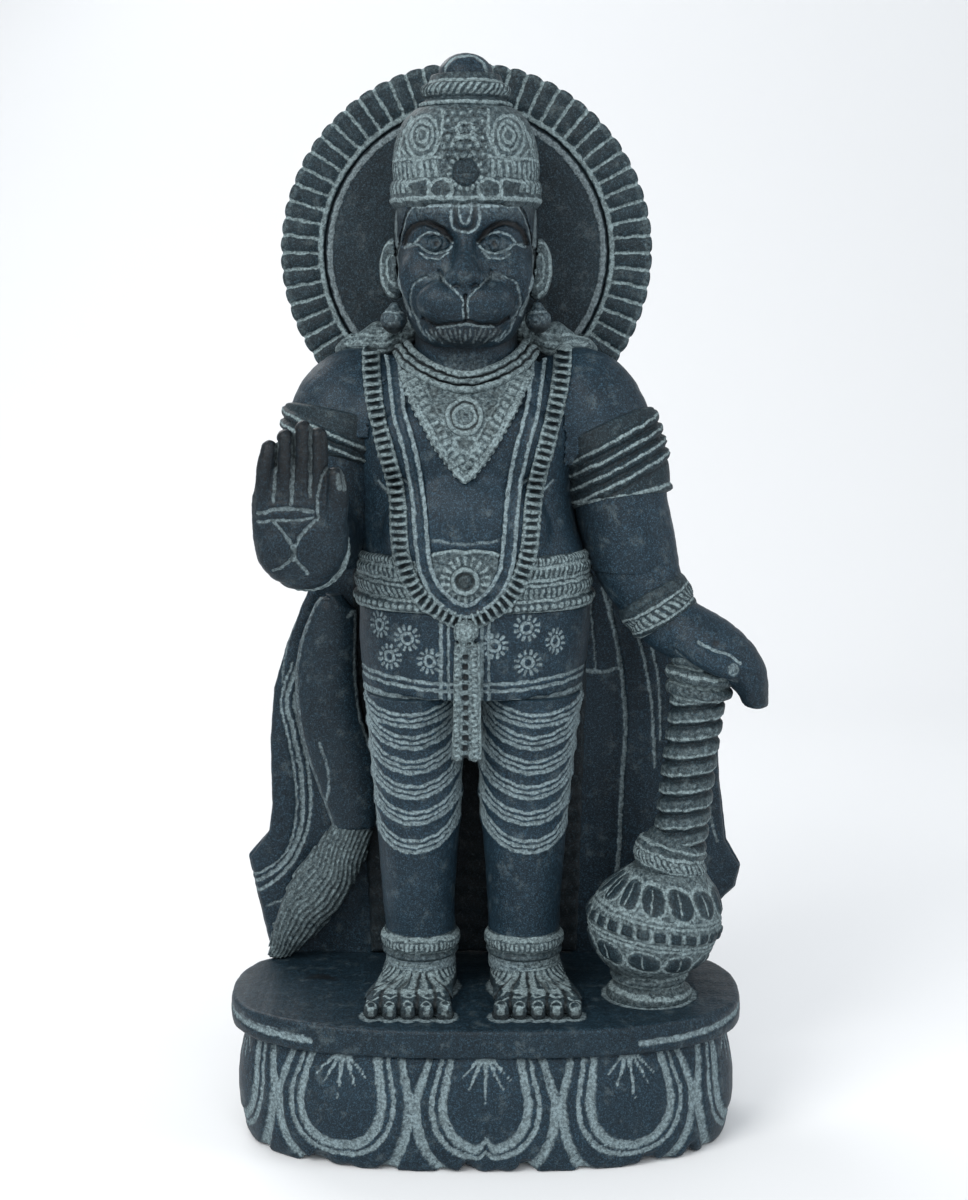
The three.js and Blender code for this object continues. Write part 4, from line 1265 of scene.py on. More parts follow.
def face_form():
    bulges = [
        (ellipsoid(head_mid + np.array((0, -32.5, 19.5)), (23, 13.5, 12.5)), 6),
        (ellipsoid(head_mid + np.array((-11.5, -37.5, 24)), (14.6, 10.8, 11.2)), 4),
        (ellipsoid(head_mid + np.array((11.5, -37.5, 24)), (14.6, 10.8, 11.2)), 4),
        (ellipsoid(head_mid + np.array((0, -31.5, 7.5)), (19, 11, 6.2)), 4),
        (ellipsoid(head_mid + np.array((-24, -19.5, 36)), (13, 13, 14)), 8),
        (ellipsoid(head_mid + np.array((24, -19.5, 36)), (13, 13, 14)), 8),
        (limb(head_mid, [
            (0, -31.5, 61, 4, 4), (0, -34, 51, 4.2, 4.6), (0, -37.5, 43, 6.4, 6.4),
            (0, -41.5, 37, 7.5, 6.5),
        ], 8), 5),
        (ellipsoid(head_mid + np.array((-7, -38, 36)), (4.6, 6, 4.2)), 2.5),
        (ellipsoid(head_mid + np.array((7, -38, 36)), (4.6, 6, 4.2)), 2.5),
        (ellipsoid(head_mid + np.array((0, -31.5, 70)), (24, 5, 8)), 6),
    ]
    eyes = [
        (ellipsoid(head_mid + np.array((-16.5, -26.9, 54)), (9.6, 5.6, 4.9)), 1.6),
        (ellipsoid(head_mid + np.array((16.5, -26.9, 54)), (9.6, 5.6, 4.9)), 1.6),
    ]
    hollows = [
        (ellipsoid(head_mid + np.array((-16, -36.5, 55)), (14, 8, 8.5)), 5),
        (ellipsoid(head_mid + np.array((16, -36.5, 55)), (14, 8, 8.5)), 5),
    ]

    def form(p):
        d = skull(p)
        for part, k in bulges[4:6]:
            d = smooth_min(d, part(p), k)
        for part, k in hollows:
            d = smooth_max(d, -part(p), k)
        for part, k in bulges[:4] + bulges[6:]:
            d = smooth_min(d, part(p), k)
        for part, k in eyes:
            d = smooth_min(d, part(p), k)
        return np.maximum(d, head_mid[2] - 0.5 - p[:, 2])
    return form


def face_lines():
    """Brows, lids, pupils, forehead mark, muzzle edges, mouth and beard."""
    front = toward_front(head_mid[1] + 6)
    marks = []

    def line(points, width, cut, pale, painted_shade=0.0, smooth=True):
        marks.append(stroke(face, points, width, cut, pale, painted_shade, smooth, front))

    def both(points, width, cut, pale, painted_shade=0.0):
        for side in (-1, 1):
            line([(side * u, v) for u, v in points], width, cut, pale, painted_shade)

    # Lines with a last value (brows, inner forehead line, nose line and wings, nostrils, mouth) and the
    # pupils are darkened with painted shade.
    both([(33, 55.5), (30, 62), (23, 65.5), (14.5, 63.5), (7.5, 56.5)], 4.0, 1.7, 0.0, 0.95)
    both([(6.6, 55), (9, 57.5), (15, 60.2), (20, 60.5), (25, 57.8), (28, 54.5)], 1.2, 0.4, 0.7)
    both([(7.5, 53), (11, 50.4), (16, 49.4), (21, 50.6), (25.5, 54), (31, 54.5)], 1.3, 0.6, 0.7)
    both([(9, 49.8), (14, 46.6), (20, 46.8), (24, 49.5)], 1.0, 0.3, 0.6)
    both([(26.5, 54.5), (32.5, 53)], 1.4, 0.3, 0.6)
    for side in (-1, 1):
        marks.append(oval_line(face, (side * 15.6, 54.6), 3.9, 4.1, 1.1, 1.0, 0.0, facing=front))
        marks.append(oval_patch(face, (side * 15.6, 54.6), 1.8, 2.0, 1.1, 0, 0.9, facing=front))
        marks.append(oval_patch(face, (side * 16.6, 54.4), 9.0, 4.6, 0.1, 0.16, 0.0, facing=front))
    mark_outer = [(-7.6, 77), (-7.4, 67), (-6.0, 62.5), (0, 60.5), (6.0, 62.5), (7.4, 67), (7.6, 77)]
    line(mark_outer, 1.4, 0.5, 0.65)
    line([(u * 0.7, 60.8 + (v - 59.5) * 0.93) for u, v in mark_outer], 2.6, 1.1, 0.0, 0.5)
    line([(-3.4, 77), (-3, 68), (0, 64.8), (3, 68), (3.4, 77)], 1.4, -0.5, 0.65)
    both([(1.2, 15.5), (1.6, 25), (4.5, 29), (9.5, 33.5), (13.5, 37.5)], 1.3, 0.4, 0.6)
    line([(0, 14), (0, 27)], 1.6, 1.6, 0.0, 0.7)
    both([(9, 31), (12.5, 35), (13.5, 40)], 1.9, 0.9, 0.1, 0.35)
    both([(3.2, 31.6), (5.0, 32.6), (6.8, 31.8)], 1.8, 0.9, 0.0, 0.5)
    both([(20, 37.5), (26, 34.5), (29.5, 28), (29, 20), (25, 14)], 1.4, 0.7, 0.45)
    mouth = [(-23, 15.5), (-16, 12.3), (-8, 12.2), (0, 13.6), (8, 12.2), (16, 12.3), (23, 15.5)]
    line(mouth, 1.9, 1.4, 0.0, 0.8)
    line([(-15, 10.6), (-7, 10.8), (0, 12.0), (7, 10.8), (15, 10.6)], 1.3, 0.0, 0.8)
    for i in range(-8, 9):
        fall = 1.2 * math.sin(i * 2.3)
        hair = [(i * 2.7, 9.0 + fall * 0.4), (i * 2.495, 5.8 + fall), (i * 2.05, 3.4 + fall)]
        line(hair, 1.2, 0.6, 0.5, smooth=False)
    both([(27, 16), (24, 9), (18, 2.5)], 1.4, 0.5, 0.45)
    both([(38.6, 77), (38.2, 66), (37.6, 55), (37.4, 44), (34.5, 28), (30, 17)], 2.0, 0.6, 0.85)
    return marks


def head_piece():
    marks = face_lines()

    def cap_rim(p):
        u, v = face(p)
        arch = 79.5 - 26 * np.clip((np.abs(u) - 27) / 10, 0, 1) ** 2
        return arch - v
    front = toward_front(head_mid[1] + 4)
    # The groove under the cap's rim is darkened with painted shade.
    marks.append(Mark(lambda p: fade(np.abs(cap_rim(p) - 2.4), 2.6) * front(p), 1.2, 0.0, 0.7))
    marks.append(Mark(lambda p: fade(np.abs(cap_rim(p) - 5.2), 1.3) * front(p), 0.0, 0.7))

    def dust(p):
        u, v = face(p)
        brow = np.clip((v - 62) / 10, 0, 1) * 0.24
        cheek = fade(np.hypot((np.abs(u) - 16) / 10, (v - 37) / 4), 1.0) * 0.3
        return (brow + cheek) * front(p)
    marks.append(Mark(dust, 0, 1.0))

    def shade(p):
        _, y, z = (p - head_mid).T
        under_chin = 0.55 * np.clip((20 - z) / 12, 0, 1) * (y < -30)
        return np.maximum(under_chin, 0.45 * np.clip((y + 24) / 16, 0, 1))
    piece("head", face_form(), marks, 0.61, painted_shade=shade)


def neck_piece():
    low = spot("neck", 0.5, 0.5, 0)
    column = oval_stack(low, [
        (-7.8, 0, 2, 38, 30), (2.2, 0, 0, 31, 27), (10.2, 0, -1, 29, 27), (26.2, 0, 0, 28, 28),
    ], 2, 2)
    form = lambda p: smooth_max(smooth_min(bare_torso(p), column(p), 8), 0.15 - bare_torso(p), 0.5)

    def rubbed(p):
        x, y, z = (p - low).T
        return np.clip(1.3 - np.hypot(x / 24, (z - 4) / 12), 0, 1) * (y < 0)
    # Painted shade grows towards the top of the neck, under the head.
    piece("neck", form, [Mark(rubbed, 0, 0.3)], 0.9, painted_shade=growing(0.75, 2, low[2] + 10, low[2] + 18))


def ear_piece(side):
    node = side + "_ear"
    sign = -1 if side == "right" else 1
    centre = spot(node, 0.5, 0.5, 0.5)
    shell = ellipsoid(centre + np.array([-2 * sign, 0, 0]), (8.5, 11, 17))
    bowl = ellipsoid(centre + np.array([3.5 * sign, -9, 1]), (4.5, 5.5, 9.5))

    def form(p):
        return smooth_max(smooth_max(shell(p), -bowl(p), 1.2), 0.15 - skull(p), 0.5)
    chart = front_chart(centre)
    flip = lambda points: [(sign * u, v) for u, v in points]
    marks = [
        stroke(chart, flip([(-3, 14), (2.5, 13), (5.2, 6), (5.2, -3), (2.5, -11), (-1, -15)]),
               1.8, 0.3, 1.0),
        stroke(chart, flip([(-3, 8), (0.5, 7), (2, 2), (1, -5), (-2, -9)]), 1.4, 0.9, 0.9),
        stroke(chart, flip([(-5, 4), (-3, -1), (-4.5, -6)]), 1.2, 0.6, 0.8),
    ]
    piece(node, form, marks, 0.6, pale=0.3)


def pendant_piece(side):
    node = side + "_ear_pendant"
    centre = spot(node, 0.5, 0.5, 0.5)
    sign = -1 if side == "right" else 1
    ball = ellipsoid(centre, (7.3, 7.5, 7.3))
    tie = ellipsoid(centre + np.array([-0.5 * sign, 0.5, 6.6]), (3.2, 3.6, 3.4))
    form = lambda p: np.maximum(smooth_min(ball(p), tie(p), 1.5), 0.15 - skull(p))
    chart = front_chart(centre)
    marks = [
        level_line(chart, 4.4, 1.2, 0.6, 0.9),
        oval_line(chart, (-1.5, 1.5), 3.4, 3.4, 0.9, 0.3, 0.5),
    ]
    # Painted shade on the underside of the ball.
    dark = growing(0.8, 2, centre[2] + 0.5, centre[2] - 4.5)
    piece(node, form, marks, 0.6, pale=0.3, painted_shade=dark)


def lock_piece(side):
    """A wavy lock of hair that flares over the shoulder, with two raised folds at its end."""
    node = side + "_hair_lock"
    sign = -1 if side == "right" else 1
    inner = spot(node, 0 if sign > 0 else 1, 0.5, 0)
    stations = [
        (sign * 2, 2, 19, 8, 12), (sign * 8, 2, 16, 9.5, 12.5), (sign * 20, -1, 11, 10.5, 12.5),
        (sign * 31, -1, 8, 8.5, 11), (sign * 39, 0, 7, 4.5, 7.5),
    ]
    body = limb(inner, stations, 12, across=(0, -1, 0))

    def form(p):
        u = (p[:, 0] - inner[0]) * sign
        wave = 0.9 * np.sin(u * 0.52 + (p[:, 2] - inner[2]) * 0.22)
        return smooth_max(body(p) + wave, 0.15 - skull(p), 0.5)
    chart = lambda p: ((p[:, 0] - inner[0]) * sign, p[:, 2] - inner[2])
    marks = []
    for step in range(4):
        drop = step * 4.6
        strand = [(2, 22 - drop), (12, 17 - drop), (20, 14 - drop * 0.9), (30, 14.5 - drop * 0.85),
                  (40, 13 - drop * 0.7)]
        marks.append(stroke(chart, strand, 1.7, 0.9, 1.0))
    for step in range(3):
        curl = [(4 + step * 3, 21 - step * 2), (3 + step * 3, 12 - step * 2), (8 + step * 3, 4)]
        marks.append(stroke(chart, curl, 1.3, 0.6, 0.85))
    piece(node, form, marks, 0.65, pale=0.42)


# ---- Crown ----
def boss_marks(flat, level, front):
    """A smooth round boss in a ring of beads, shared by the band and the dome."""
    def r_of(p):
        u, v = flat(p)
        return np.hypot(u, v - level)

    def beads(p):
        u, v = flat(p)
        turn = np.arctan2(v - level, u)
        return fade(np.abs(r_of(p) - 8.6), 1.7) * (0.55 + 0.45 * np.sin(turn * 16)) * front(p)
    return [
        Mark(lambda p: np.clip(7.2 - r_of(p), 0, 1) * front(p), -2.0, -1.0, 0.05),
        Mark(beads, -1.2, 1.0),
    ]


def crown_band():
    mid = spot("crown_band", 0.5, 0.5, 0)
    band = oval_stack(mid, [
        (-3, 0, 0.1, 39, 41), (0, 0, 0.1, 41, 43), (2, 0, 0.1, 42, 44), (4, 0, 0.1, 41.5, 43.4),
        (9, 0, 0.1, 42, 44), (12.5, 0, 0.1, 40.5, 42),
    ], 2, 1)
    chart = wrap_chart(mid, 42)
    flat = front_chart(mid)
    front = toward_front(mid[1] - 4)
    behind = lambda p: p[:, 1] > mid[1] - 30
    marks = [
        level_line(chart, 1.4, 2.4, -0.1, 1.0),
        teeth(chart, 4.5, 12.5, 5.2, 0.46, 0.8, 0.95, facing=behind),
        stroke(flat, [(-33, 9.5), (-22, 11.5), (-20, 11)], 1.3, 0.2, 1.0, facing=front),
        stroke(flat, [(33, 9.5), (23, 11.5), (20, 11)], 1.3, 0.2, 1.0, facing=front),
    ]
    # The sunk ovals beside the middle are darkened with painted shade.
    for side in (-1, 1):
        marks.append(oval_patch(flat, (side * 26, 6), 6.5, 3.2, 0.9, 0, 0.25, facing=front))
        marks.append(oval_patch(flat, (side * 13, 6), 5.0, 4.2, -0.5, 0, 0.1, facing=front))
        marks.append(oval_line(flat, (side * 13, 6), 6.0, 5.2, 1.3, 0.3, 1.0, facing=front))
        marks.append(stroke(flat, [(side * 19.5, 3), (side * 19.5, 10.5)], 1.8, -0.2, 1.0, facing=front))
    marks += boss_marks(flat, 14.7, front)
    piece("crown_band", band, marks, 0.6, pale=0.25)


def crown_dome():
    """Two scrolled ovals beside a panel of beads, over a row of teeth."""
    low = spot("crown_dome", 0.5, 0.5, 0)
    dome = oval_stack(low, [
        (-2.3, 0, 0, 40, 41), (0, 0, 0, 40, 41), (9.7, 0, 0, 40.5, 41), (21.7, 0, 0, 38.5, 38),
        (31.7, 0, 0, 34.5, 33), (39.2, 0, 0, 27, 26),
    ], 2, 1.5)
    flat = front_chart(low)
    chart = wrap_chart(low, 40)
    front = toward_front(low[1] - 6)
    beside = lambda limit: lambda p: np.abs(p[:, 0] - low[0]) > limit
    marks = [
        teeth(chart, -2, 9.5, 4.4, 0.44, 0.9, 0.95, slant=0.15, facing=beside(14)),
        level_line(chart, 10.5, 1.4, 0.2, 0.9, facing=beside(12)),
    ]
    scroll = [(12.5, 36), (12, 26), (14.5, 16), (20, 10.5), (29, 10), (34, 16)]
    edge = [(36, 12), (34.5, 22), (29, 33)]
    for side in (-1, 1):
        for size in (1.0, 0.66, 0.34):
            centre = (side * 23, 22 + (1 - size))
            marks.append(oval_line(flat, centre, 8.6 * size, 11.5 * size, 1.5, 0.8, 1.0, facing=front))
        for points, width, pale in ((scroll, 1.5, 1.0), (edge, 1.4, 0.9)):
            points = [(side * u, v) for u, v in points]
            marks.append(stroke(flat, points, width, 0.6, pale, facing=front))
    pitch = 4.6

    def beadwork(p):
        """0 in the middle of a bead, and well over 1 outside the panel."""
        u, v = flat(p)
        inside = (np.abs(u) < 11.5) * (v > 8) * (v < 38)
        row = v / pitch
        shift = (np.floor(row) % 2) * pitch / 2
        du = ((u + shift) / pitch + 0.5) % 1 - 0.5
        dv = row % 1 - 0.5
        return np.hypot(du, dv) * inside + 9 * (1 - inside)

    def bead(p):
        return np.clip(1 - beadwork(p) / 0.42, 0, 1) * front(p)

    def between_beads(p):
        return np.clip((beadwork(p) - 0.46) * 5, 0, 1) * (beadwork(p) < 1) * front(p)
    # The hollows between the beads are darkened with painted shade.
    marks += [Mark(bead, -1.2, 0.9), Mark(between_beads, 1.2, 0.0, 0.8)]
    upper_front = lambda p: front(p) * (p[:, 2] > low[2] + 16)
    for level, wide in ((17, 6.5), (25, 4.5)):
        marks.append(oval_line(flat, (0, level), wide, 3.6, 1.5, -0.9, 1.0, facing=upper_front))
    marks += boss_marks(flat, 2.4, front)
    side_teeth = teeth(chart, 9, 36, 3.3, 0.4)
    marks.append(Mark(lambda p: (np.abs(flat(p)[0]) > 35) * side_teeth.cover(p), 0.4, 0.7))
    piece("crown_dome", dome, marks, 0.55, grow=(0, 2, 0, 0, 0, 0), pale=0.3)


def crown_ring():
    low = spot("crown_ring", 0.5, 0.5, 0)
    rings = turned(low, [
        (-1, 0, 24), (1.2, 0, 25.5), (2.6, 0, 25.5), (4.2, 0, 22.6), (6.0, 0, 23.4), (9, 0, 25),
        (12, 0, 24), (14.0, 0, 20.5), (18, 0, 19),
    ], 0.8)
    chart = wrap_chart(low, 24)
    marks = [
        level_line(chart, 1.8, 2.0, 0, 0.9),
        teeth(chart, 6.0, 12.6, 4.0, 0.4, 0.8, 0.8, slant=-0.8),
        level_line(chart, 13.6, 1.6, 0.2, 0.95),
        level_line(chart, 4.6, 1.6, 0.4, 0),
    ]
    piece("crown_ring", rings, marks, 0.6, pale=0.2)


def crown_finial():
    low = spot("crown_finial", 0.5, 0.5, 0)
    knob = turned(low, [
        (-1, 0, 14.6), (1, 0, 14.8), (4.7, 0, 13.8), (8.7, 0, 10.2), (11.2, 0, 5), (11.8, 0, 1.5),
    ], 1.0)
    arch = [(-11.5, 0), (-10, 5), (-5, 8.6), (0, 9.4), (5, 8.6), (10, 5), (11.5, 0)]
    line = stroke(front_chart(low), arch, 1.3, 0.4, 0.95, facing=toward_front(low[1]))
    piece("crown_finial", knob, [line], 0.55, pale=0.1)


# ---- Halo, back slab and cloth behind ----
halo_box_low, halo_box_high = corners("halo_disc")
halo_centre = np.array([(halo_box_low[0] + halo_box_high[0]) / 2, 0, halo_box_low[2] + 81])
FLUTES = 66
DISC_RADIUS = 82.6
RIM_INNER = 81.7
RIM_OUTER = 105.4
# The rim ends above the shoulders along two slanting lines. FAN_SCALE makes the measure
# across such a line about a true distance.
FAN_SLOPE = 0.9004
FAN_SCALE = 0.743


def halo_radius(p):
    return np.hypot(p[:, 0] - halo_centre[0], p[:, 2] - halo_centre[2])


def halo_disc():
    low, high = corners("halo_disc")
    outline = lambda x, z: np.hypot(x - halo_centre[0], z - halo_centre[2]) - DISC_RADIUS
    disc = slab_form(outline, low[1], high[1], 1.2)
    form = lambda p: np.maximum(disc(p), low[2] - p[:, 2])
    marks = [
        Mark(lambda p: fade(np.abs(halo_radius(p) - 78.6), 2.2) * (p[:, 1] < low[1] + 5), -0.5, 1.0),
        # The sunk edge where the disc meets the rim is darkened with painted shade.
        Mark(lambda p: np.clip(halo_radius(p) - 80.0, 0, 1), 0.9, 0, 0.5),
    ]
    piece("halo_disc", form, marks, 1.0)


def halo_rim():
    low, high = corners("halo_rim")

    def flute_turn(p):
        """-0.5 to 0.5 across each flute, 0 on its crest."""
        turn = np.arctan2(p[:, 0] - halo_centre[0], p[:, 2] - halo_centre[2]) / (2 * math.pi)
        return (turn * FLUTES + 0.5) % 1 - 0.5

    def rim(p):
        r = halo_radius(p)
        rib = np.sqrt(np.clip(1 - (2 * flute_turn(p)) ** 2, 0, 1))
        front = low[1] + 2.0 - 1.9 * rib * np.clip((r - 84) / 5, 0, 1) - p[:, 1]
        flat = smooth_max(r - (RIM_OUTER + 1.5 * rib), RIM_INNER - r, 1.0)
        body = smooth_max(flat, np.maximum(front * 0.8, p[:, 1] - high[1]), 1.6)
        return np.maximum(body, low[2] - p[:, 2])

    def form(p):
        x, z = np.abs(p[:, 0] - halo_centre[0]), halo_centre[2] - p[:, 2]
        return np.maximum(rim(p), FAN_SCALE * (z - FAN_SLOPE * x))

    def valley(p):
        near = (halo_radius(p) > 85) * (p[:, 1] < low[1] + 7)
        return fade((0.5 - np.abs(flute_turn(p))) * 9, 1.25) * near
    marks = [
        Mark(valley, 0.2, 0.95),
        Mark(lambda p: fade(np.abs(halo_radius(p) - 83.8), 1.8) * (p[:, 1] < low[1] + 7), 0.0, 0.95),
        Mark(lambda p: fade(np.abs(halo_radius(p) - 104.5), 3.0) * (p[:, 1] < low[1] + 8), 0.0, 0.25),
    ]
    piece("halo_rim", form, marks, 0.95, pale=0.08)


def back_piece():
    low, high = corners("back_slab")
    mid = spot("back_slab", 0.5, 0, 0)
    outline = polygon([
        (-61, 0), (65, 0), (71, 216.7), (59, 337.7), (-63, 337.7), (-71, 216.7),
    ])
    shifted = lambda x, z: outline(x - mid[0], z - mid[2])
    plate = slab_form(shifted, low[1], high[1], 2.5)

    def form(p):
        rough = 0.35 * np.sin(p[:, 0] * 0.23 + np.sin(p[:, 2] * 0.11)) * np.sin(p[:, 2] * 0.17 + 1.3)
        ridge = 0.25 * np.sin(p[:, 2] * 0.55 + 2 * np.sin(p[:, 0] * 0.07))
        return plate(p) + (rough + ridge) + 0.6

    def tooling(p):
        wave = (p[:, 0] * 0.8 + p[:, 2] * 0.45) / 5.2 + 0.6 * np.sin(p[:, 2] * 0.045)
        gap = np.sin(p[:, 0] * 0.31) * np.sin(p[:, 2] * 0.13) > -0.1
        return fade(np.abs((wave % 1) - 0.5) * 5.2, 0.7) * gap
    marks = [Mark(tooling, 0.25, 0.3)]
    # Painted shade over the front face of the slab, which shows in the gaps behind the figure.
    dark = lambda p: 0.45 * (p[:, 1] < low[1] + 4)
    piece("back_slab", form, marks, 1.3, painted_shade=dark)


def beyond_plinth(p):
    """Above 0 where a point is outside the oval plan of the plinth."""
    low, high = corners("plinth_slab")
    away = np.abs((p - (low + high) / 2) / ((high - low) / 2))
    return 40 * (away[:, 0] ** PLAN_POWER + away[:, 1] ** PLAN_POWER - 0.97)


def fall_form(node, points):
    low, high = corners(node)
    mid = spot(node, 0.5, 0, 0)
    outline = polygon(points)
    shifted = lambda x, z: outline(x - mid[0], z - mid[2])
    plate = slab_form(shifted, low[1] + 1.5, high[1], 4.5)

    def form(p):
        x = p[:, 0] - mid[0]
        fold = 1.6 * np.sin(x * 0.16 + 1.2 * np.sin((p[:, 2] - mid[2]) * 0.018)) * (p[:, 1] < mid[1] + 9)
        return np.maximum(plate(p) + fold * 0.8 + 0.3, np.minimum(mid[2] - p[:, 2], beyond_plinth(p)))
    return form, mid


def fall_pieces():
    points = [
        (46, 266), (14, 266), (7, 240), (1.7, 219.7), (-10.3, 190.7), (-19.3, 162.7),
        (-21.8, 131.7), (-20.8, 91.7), (-23.3, 74.7), (-37.3, 58.7), (-33.3, 38.7),
        (-28.3, 16.7), (-23.3, -5), (46, -5),
    ]
    form, mid = fall_form("right_fall", points)
    chart = front_chart(mid)
    front = toward_front(mid[1] + 10)
    hem = [
        (-4.3, 178.7), (-11.3, 156.7), (-8.3, 138.7), (-3.8, 111.7), (-3.3, 84.7), (-9.3, 63.7),
        (-20.3, 50.7), (-35.3, 41.7),
    ]
    marks = []
    for shift, width, pale in ((-3.6, 1.4, 0.8), (0, 3.0, 0.95), (4.6, 2.6, 0.95)):
        line = []
        for i, (u, v) in enumerate(hem):
            line.append((u + shift * (1 if i < 5 else 0.7), v - max(0, i - 4) * shift * 0.35))
        marks.append(stroke(chart, line, width, 0.7, pale, facing=front))
    upper_line = [(-4.3, 208.7), (-11.3, 186.7), (-13.3, 166.7), (-10.3, 154.7)]
    lower_line = [(-25.3, 28.7), (-12.3, 34.7), (-4.3, 44.7)]
    marks.append(stroke(chart, upper_line, 1.6, 0.3, 0.45, facing=front))
    marks.append(stroke(chart, lower_line, 1.8, 0.4, 0.7, facing=front))
    # Painted shade laid evenly over the cloth that hangs behind the leg.
    piece("right_fall", form, marks, 1.0, grow=(0, 0, 4, 12, 0, 38), painted_shade=even(0.12))

    points = [
        (-54.2, 268), (-24, 268), (-1.2, 232), (5.8, 219.7), (21.8, 193.7), (32.8, 156.7),
        (35.8, 106.7), (40.8, 68.7), (49.8, 52.7), (46.8, 38.7), (36.8, 29.7), (23.8, 20.7),
        (14.8, -5), (-54.2, -5),
    ]
    form, mid = fall_form("left_fall", points)
    chart = front_chart(mid)
    marks = []
    lines = (
        ([(-36.2, 223.7), (-29.2, 196.7), (-24.2, 166.7), (-22.2, 138.7), (-24.2, 101.7), (-25.2, 66.7),
          (-28.2, 36.7)], 2.8, 0.85),
        ([(-22.2, 218.7), (-13.2, 188.7), (-7.2, 156.7), (-5.2, 131.7), (-4.2, 114.7)], 1.9, 0.8),
        ([(-17.2, 218.7), (-7.2, 188.7), (-2.2, 161.7), (-1.2, 131.7)], 1.5, 0.7),
        ([(-44.2, 216.7), (-42.2, 196.7), (-40.2, 174.7)], 1.3, 0.55),
        ([(-32.2, 219.7), (-29.2, 196.7), (-26.2, 174.7)], 1.3, 0.55),
        ([(-46.2, 174.2), (-36.2, 173.2), (-27.2, 175.2)], 3.0, 0.7),
        ([(15.8, 186.7), (23.8, 162.7), (26.8, 131.7), (27.8, 96.7), (33.8, 68.7)], 1.8, 0.6),
        ([(5.8, 184.7), (14.8, 160.7), (17.8, 128.7), (17.8, 96.7)], 1.6, 0.5),
    )
    for points, width, pale in lines:
        marks.append(stroke(chart, points, width, 0.6, pale, facing=front))
    # Painted shade laid evenly over the cloth that hangs behind the leg.
    piece("left_fall", form, marks, 1.0, grow=(4, 0, 4, 0, 0, 40), painted_shade=even(0.15))


def tail_piece():
    mid = spot("tail", 0.5, 0.5, 0)
    tail_line = [
        (3.8, 1, 136, 9, 6), (-0.2, 0, 130, 13, 8), (-6.2, 0, 99, 18, 10), (-4.2, 0, 64, 19, 11),
        (5.8, 0, 29, 19, 11), (9.8, 0, 2, 14, 11), (8.8, 0, -6, 13, 11),
    ]
    rod = limb(mid, tail_line, 18, cap=0.3)
    form = lambda p: smooth_max(rod(p), mid[2] - 0.5 - p[:, 2], 1.5)
    chart = front_chart(mid)
    marks = []
    rows = smooth_rows(tail_line, 24)
    for side, width, pale in ((-0.93, 2.2, 0.5), (0.93, 2.0, 0.8)):
        points = []
        for a, b in zip(rows[:-1], rows[1:]):
            along = (b - a)[[0, 2]] / np.hypot(*(b - a)[[0, 2]])
            points.append((a[0] - side * a[3] * along[1], a[2] + side * a[3] * along[0]))
        marks.append(stroke(chart, points, width, 0.0, pale, smooth=False))
    marks.append(stroke(chart, [(-10.2, 52), (-5.7, 39), (-5.2, 24), (-9.2, 12)], 2.4, 0.3, 0.6))
    # Painted shade laid evenly over the tail.
    piece("tail", form, marks, 0.9, painted_shade=even(0.15))


def tail_tuft():
    """The brush at the tail's end, combed into strands that follow its curve."""
    mid = spot("tail_tuft", 0.5, 0.5, 0)
    tuft_line = [
        (21.2, 1, 88.6, 12, 10), (21.2, 1, 84, 12, 10), (13.8, 0, 66.6, 15, 11),
        (-0.2, 0, 44.6, 17.5, 12), (-13.2, 1, 23.6, 14, 11), (-22.2, 4, 8.6, 9, 8),
        (-27.2, 5, 0.6, 5, 6),
    ]
    brush = limb(mid, tuft_line, 16)
    count = 40
    rows = smooth_rows(tuft_line, count)
    centre_line = [(r[0], r[2]) for r in rows]
    length = 118
    strands = 4.6

    def comb(p):
        """Between -1 and 1 across each strand."""
        x, z = p[:, 0] - mid[0], p[:, 2] - mid[2]
        _, s = polyline(x, z, centre_line)
        i = np.interp(s, np.linspace(0, length, count), np.arange(count))
        cx, cz, wide = (np.interp(i, np.arange(count), rows[:, k]) for k in (0, 2, 3))
        across = (x - cx) * 0.87 - (z - cz) * 0.5
        turn = across / wide * strands + 0.55 * np.sin(s * 0.11) + 0.12 * np.sin(s * 0.31)
        return np.sin(turn * 2 * math.pi)

    def form(p):
        d = brush(p) + 0.51 * comb(p) + 0.3
        return smooth_max(d, np.maximum(mid[2] + 0.3 - p[:, 2], p[:, 2] - mid[2] - 84.6), 1.0)
    marks = [
        Mark(lambda p: np.clip(-comb(p) - 0.3, 0, 1), 0, 0.7),
        # The grooves between the strands are darkened with painted shade.
        Mark(lambda p: np.clip(comb(p) - 0.3, 0, 1), 0.3, 0, 0.5),
    ]
    piece("tail_tuft", form, marks, 0.75, pale=0.36)


# ---- Arms ----
def joined(form, other, k):
    """The outside part of a form, flowing out of the one it stands on."""
    return lambda p: smooth_max(smooth_min(other(p), form(p), k), 0.15 - other(p), 0.5)


def pleats(chart, count, start, step, lean, width, facing=None):
    """Slanting raised folds; each is a ridge with a pale crest and a valley under it darkened with painted
    shade.
    """
    def slanting(level, half_width):
        def cover(p):
            u, v = chart(p)
            out = fade(np.abs(v - lean * u - level), half_width)
            return out if facing is None else out * facing(p)
        return cover
    marks = []
    for i in range(count):
        level = start + i * step
        marks.append(Mark(slanting(level, width), -1.7, 0.0))
        marks.append(Mark(slanting(level + 0.6, 1.2), 0, 0.85))
        # The valley under the ridge is darkened with painted shade.
        marks.append(Mark(slanting(level - step * 0.5, 1.4), 0.5, 0, 0.35))
    return marks


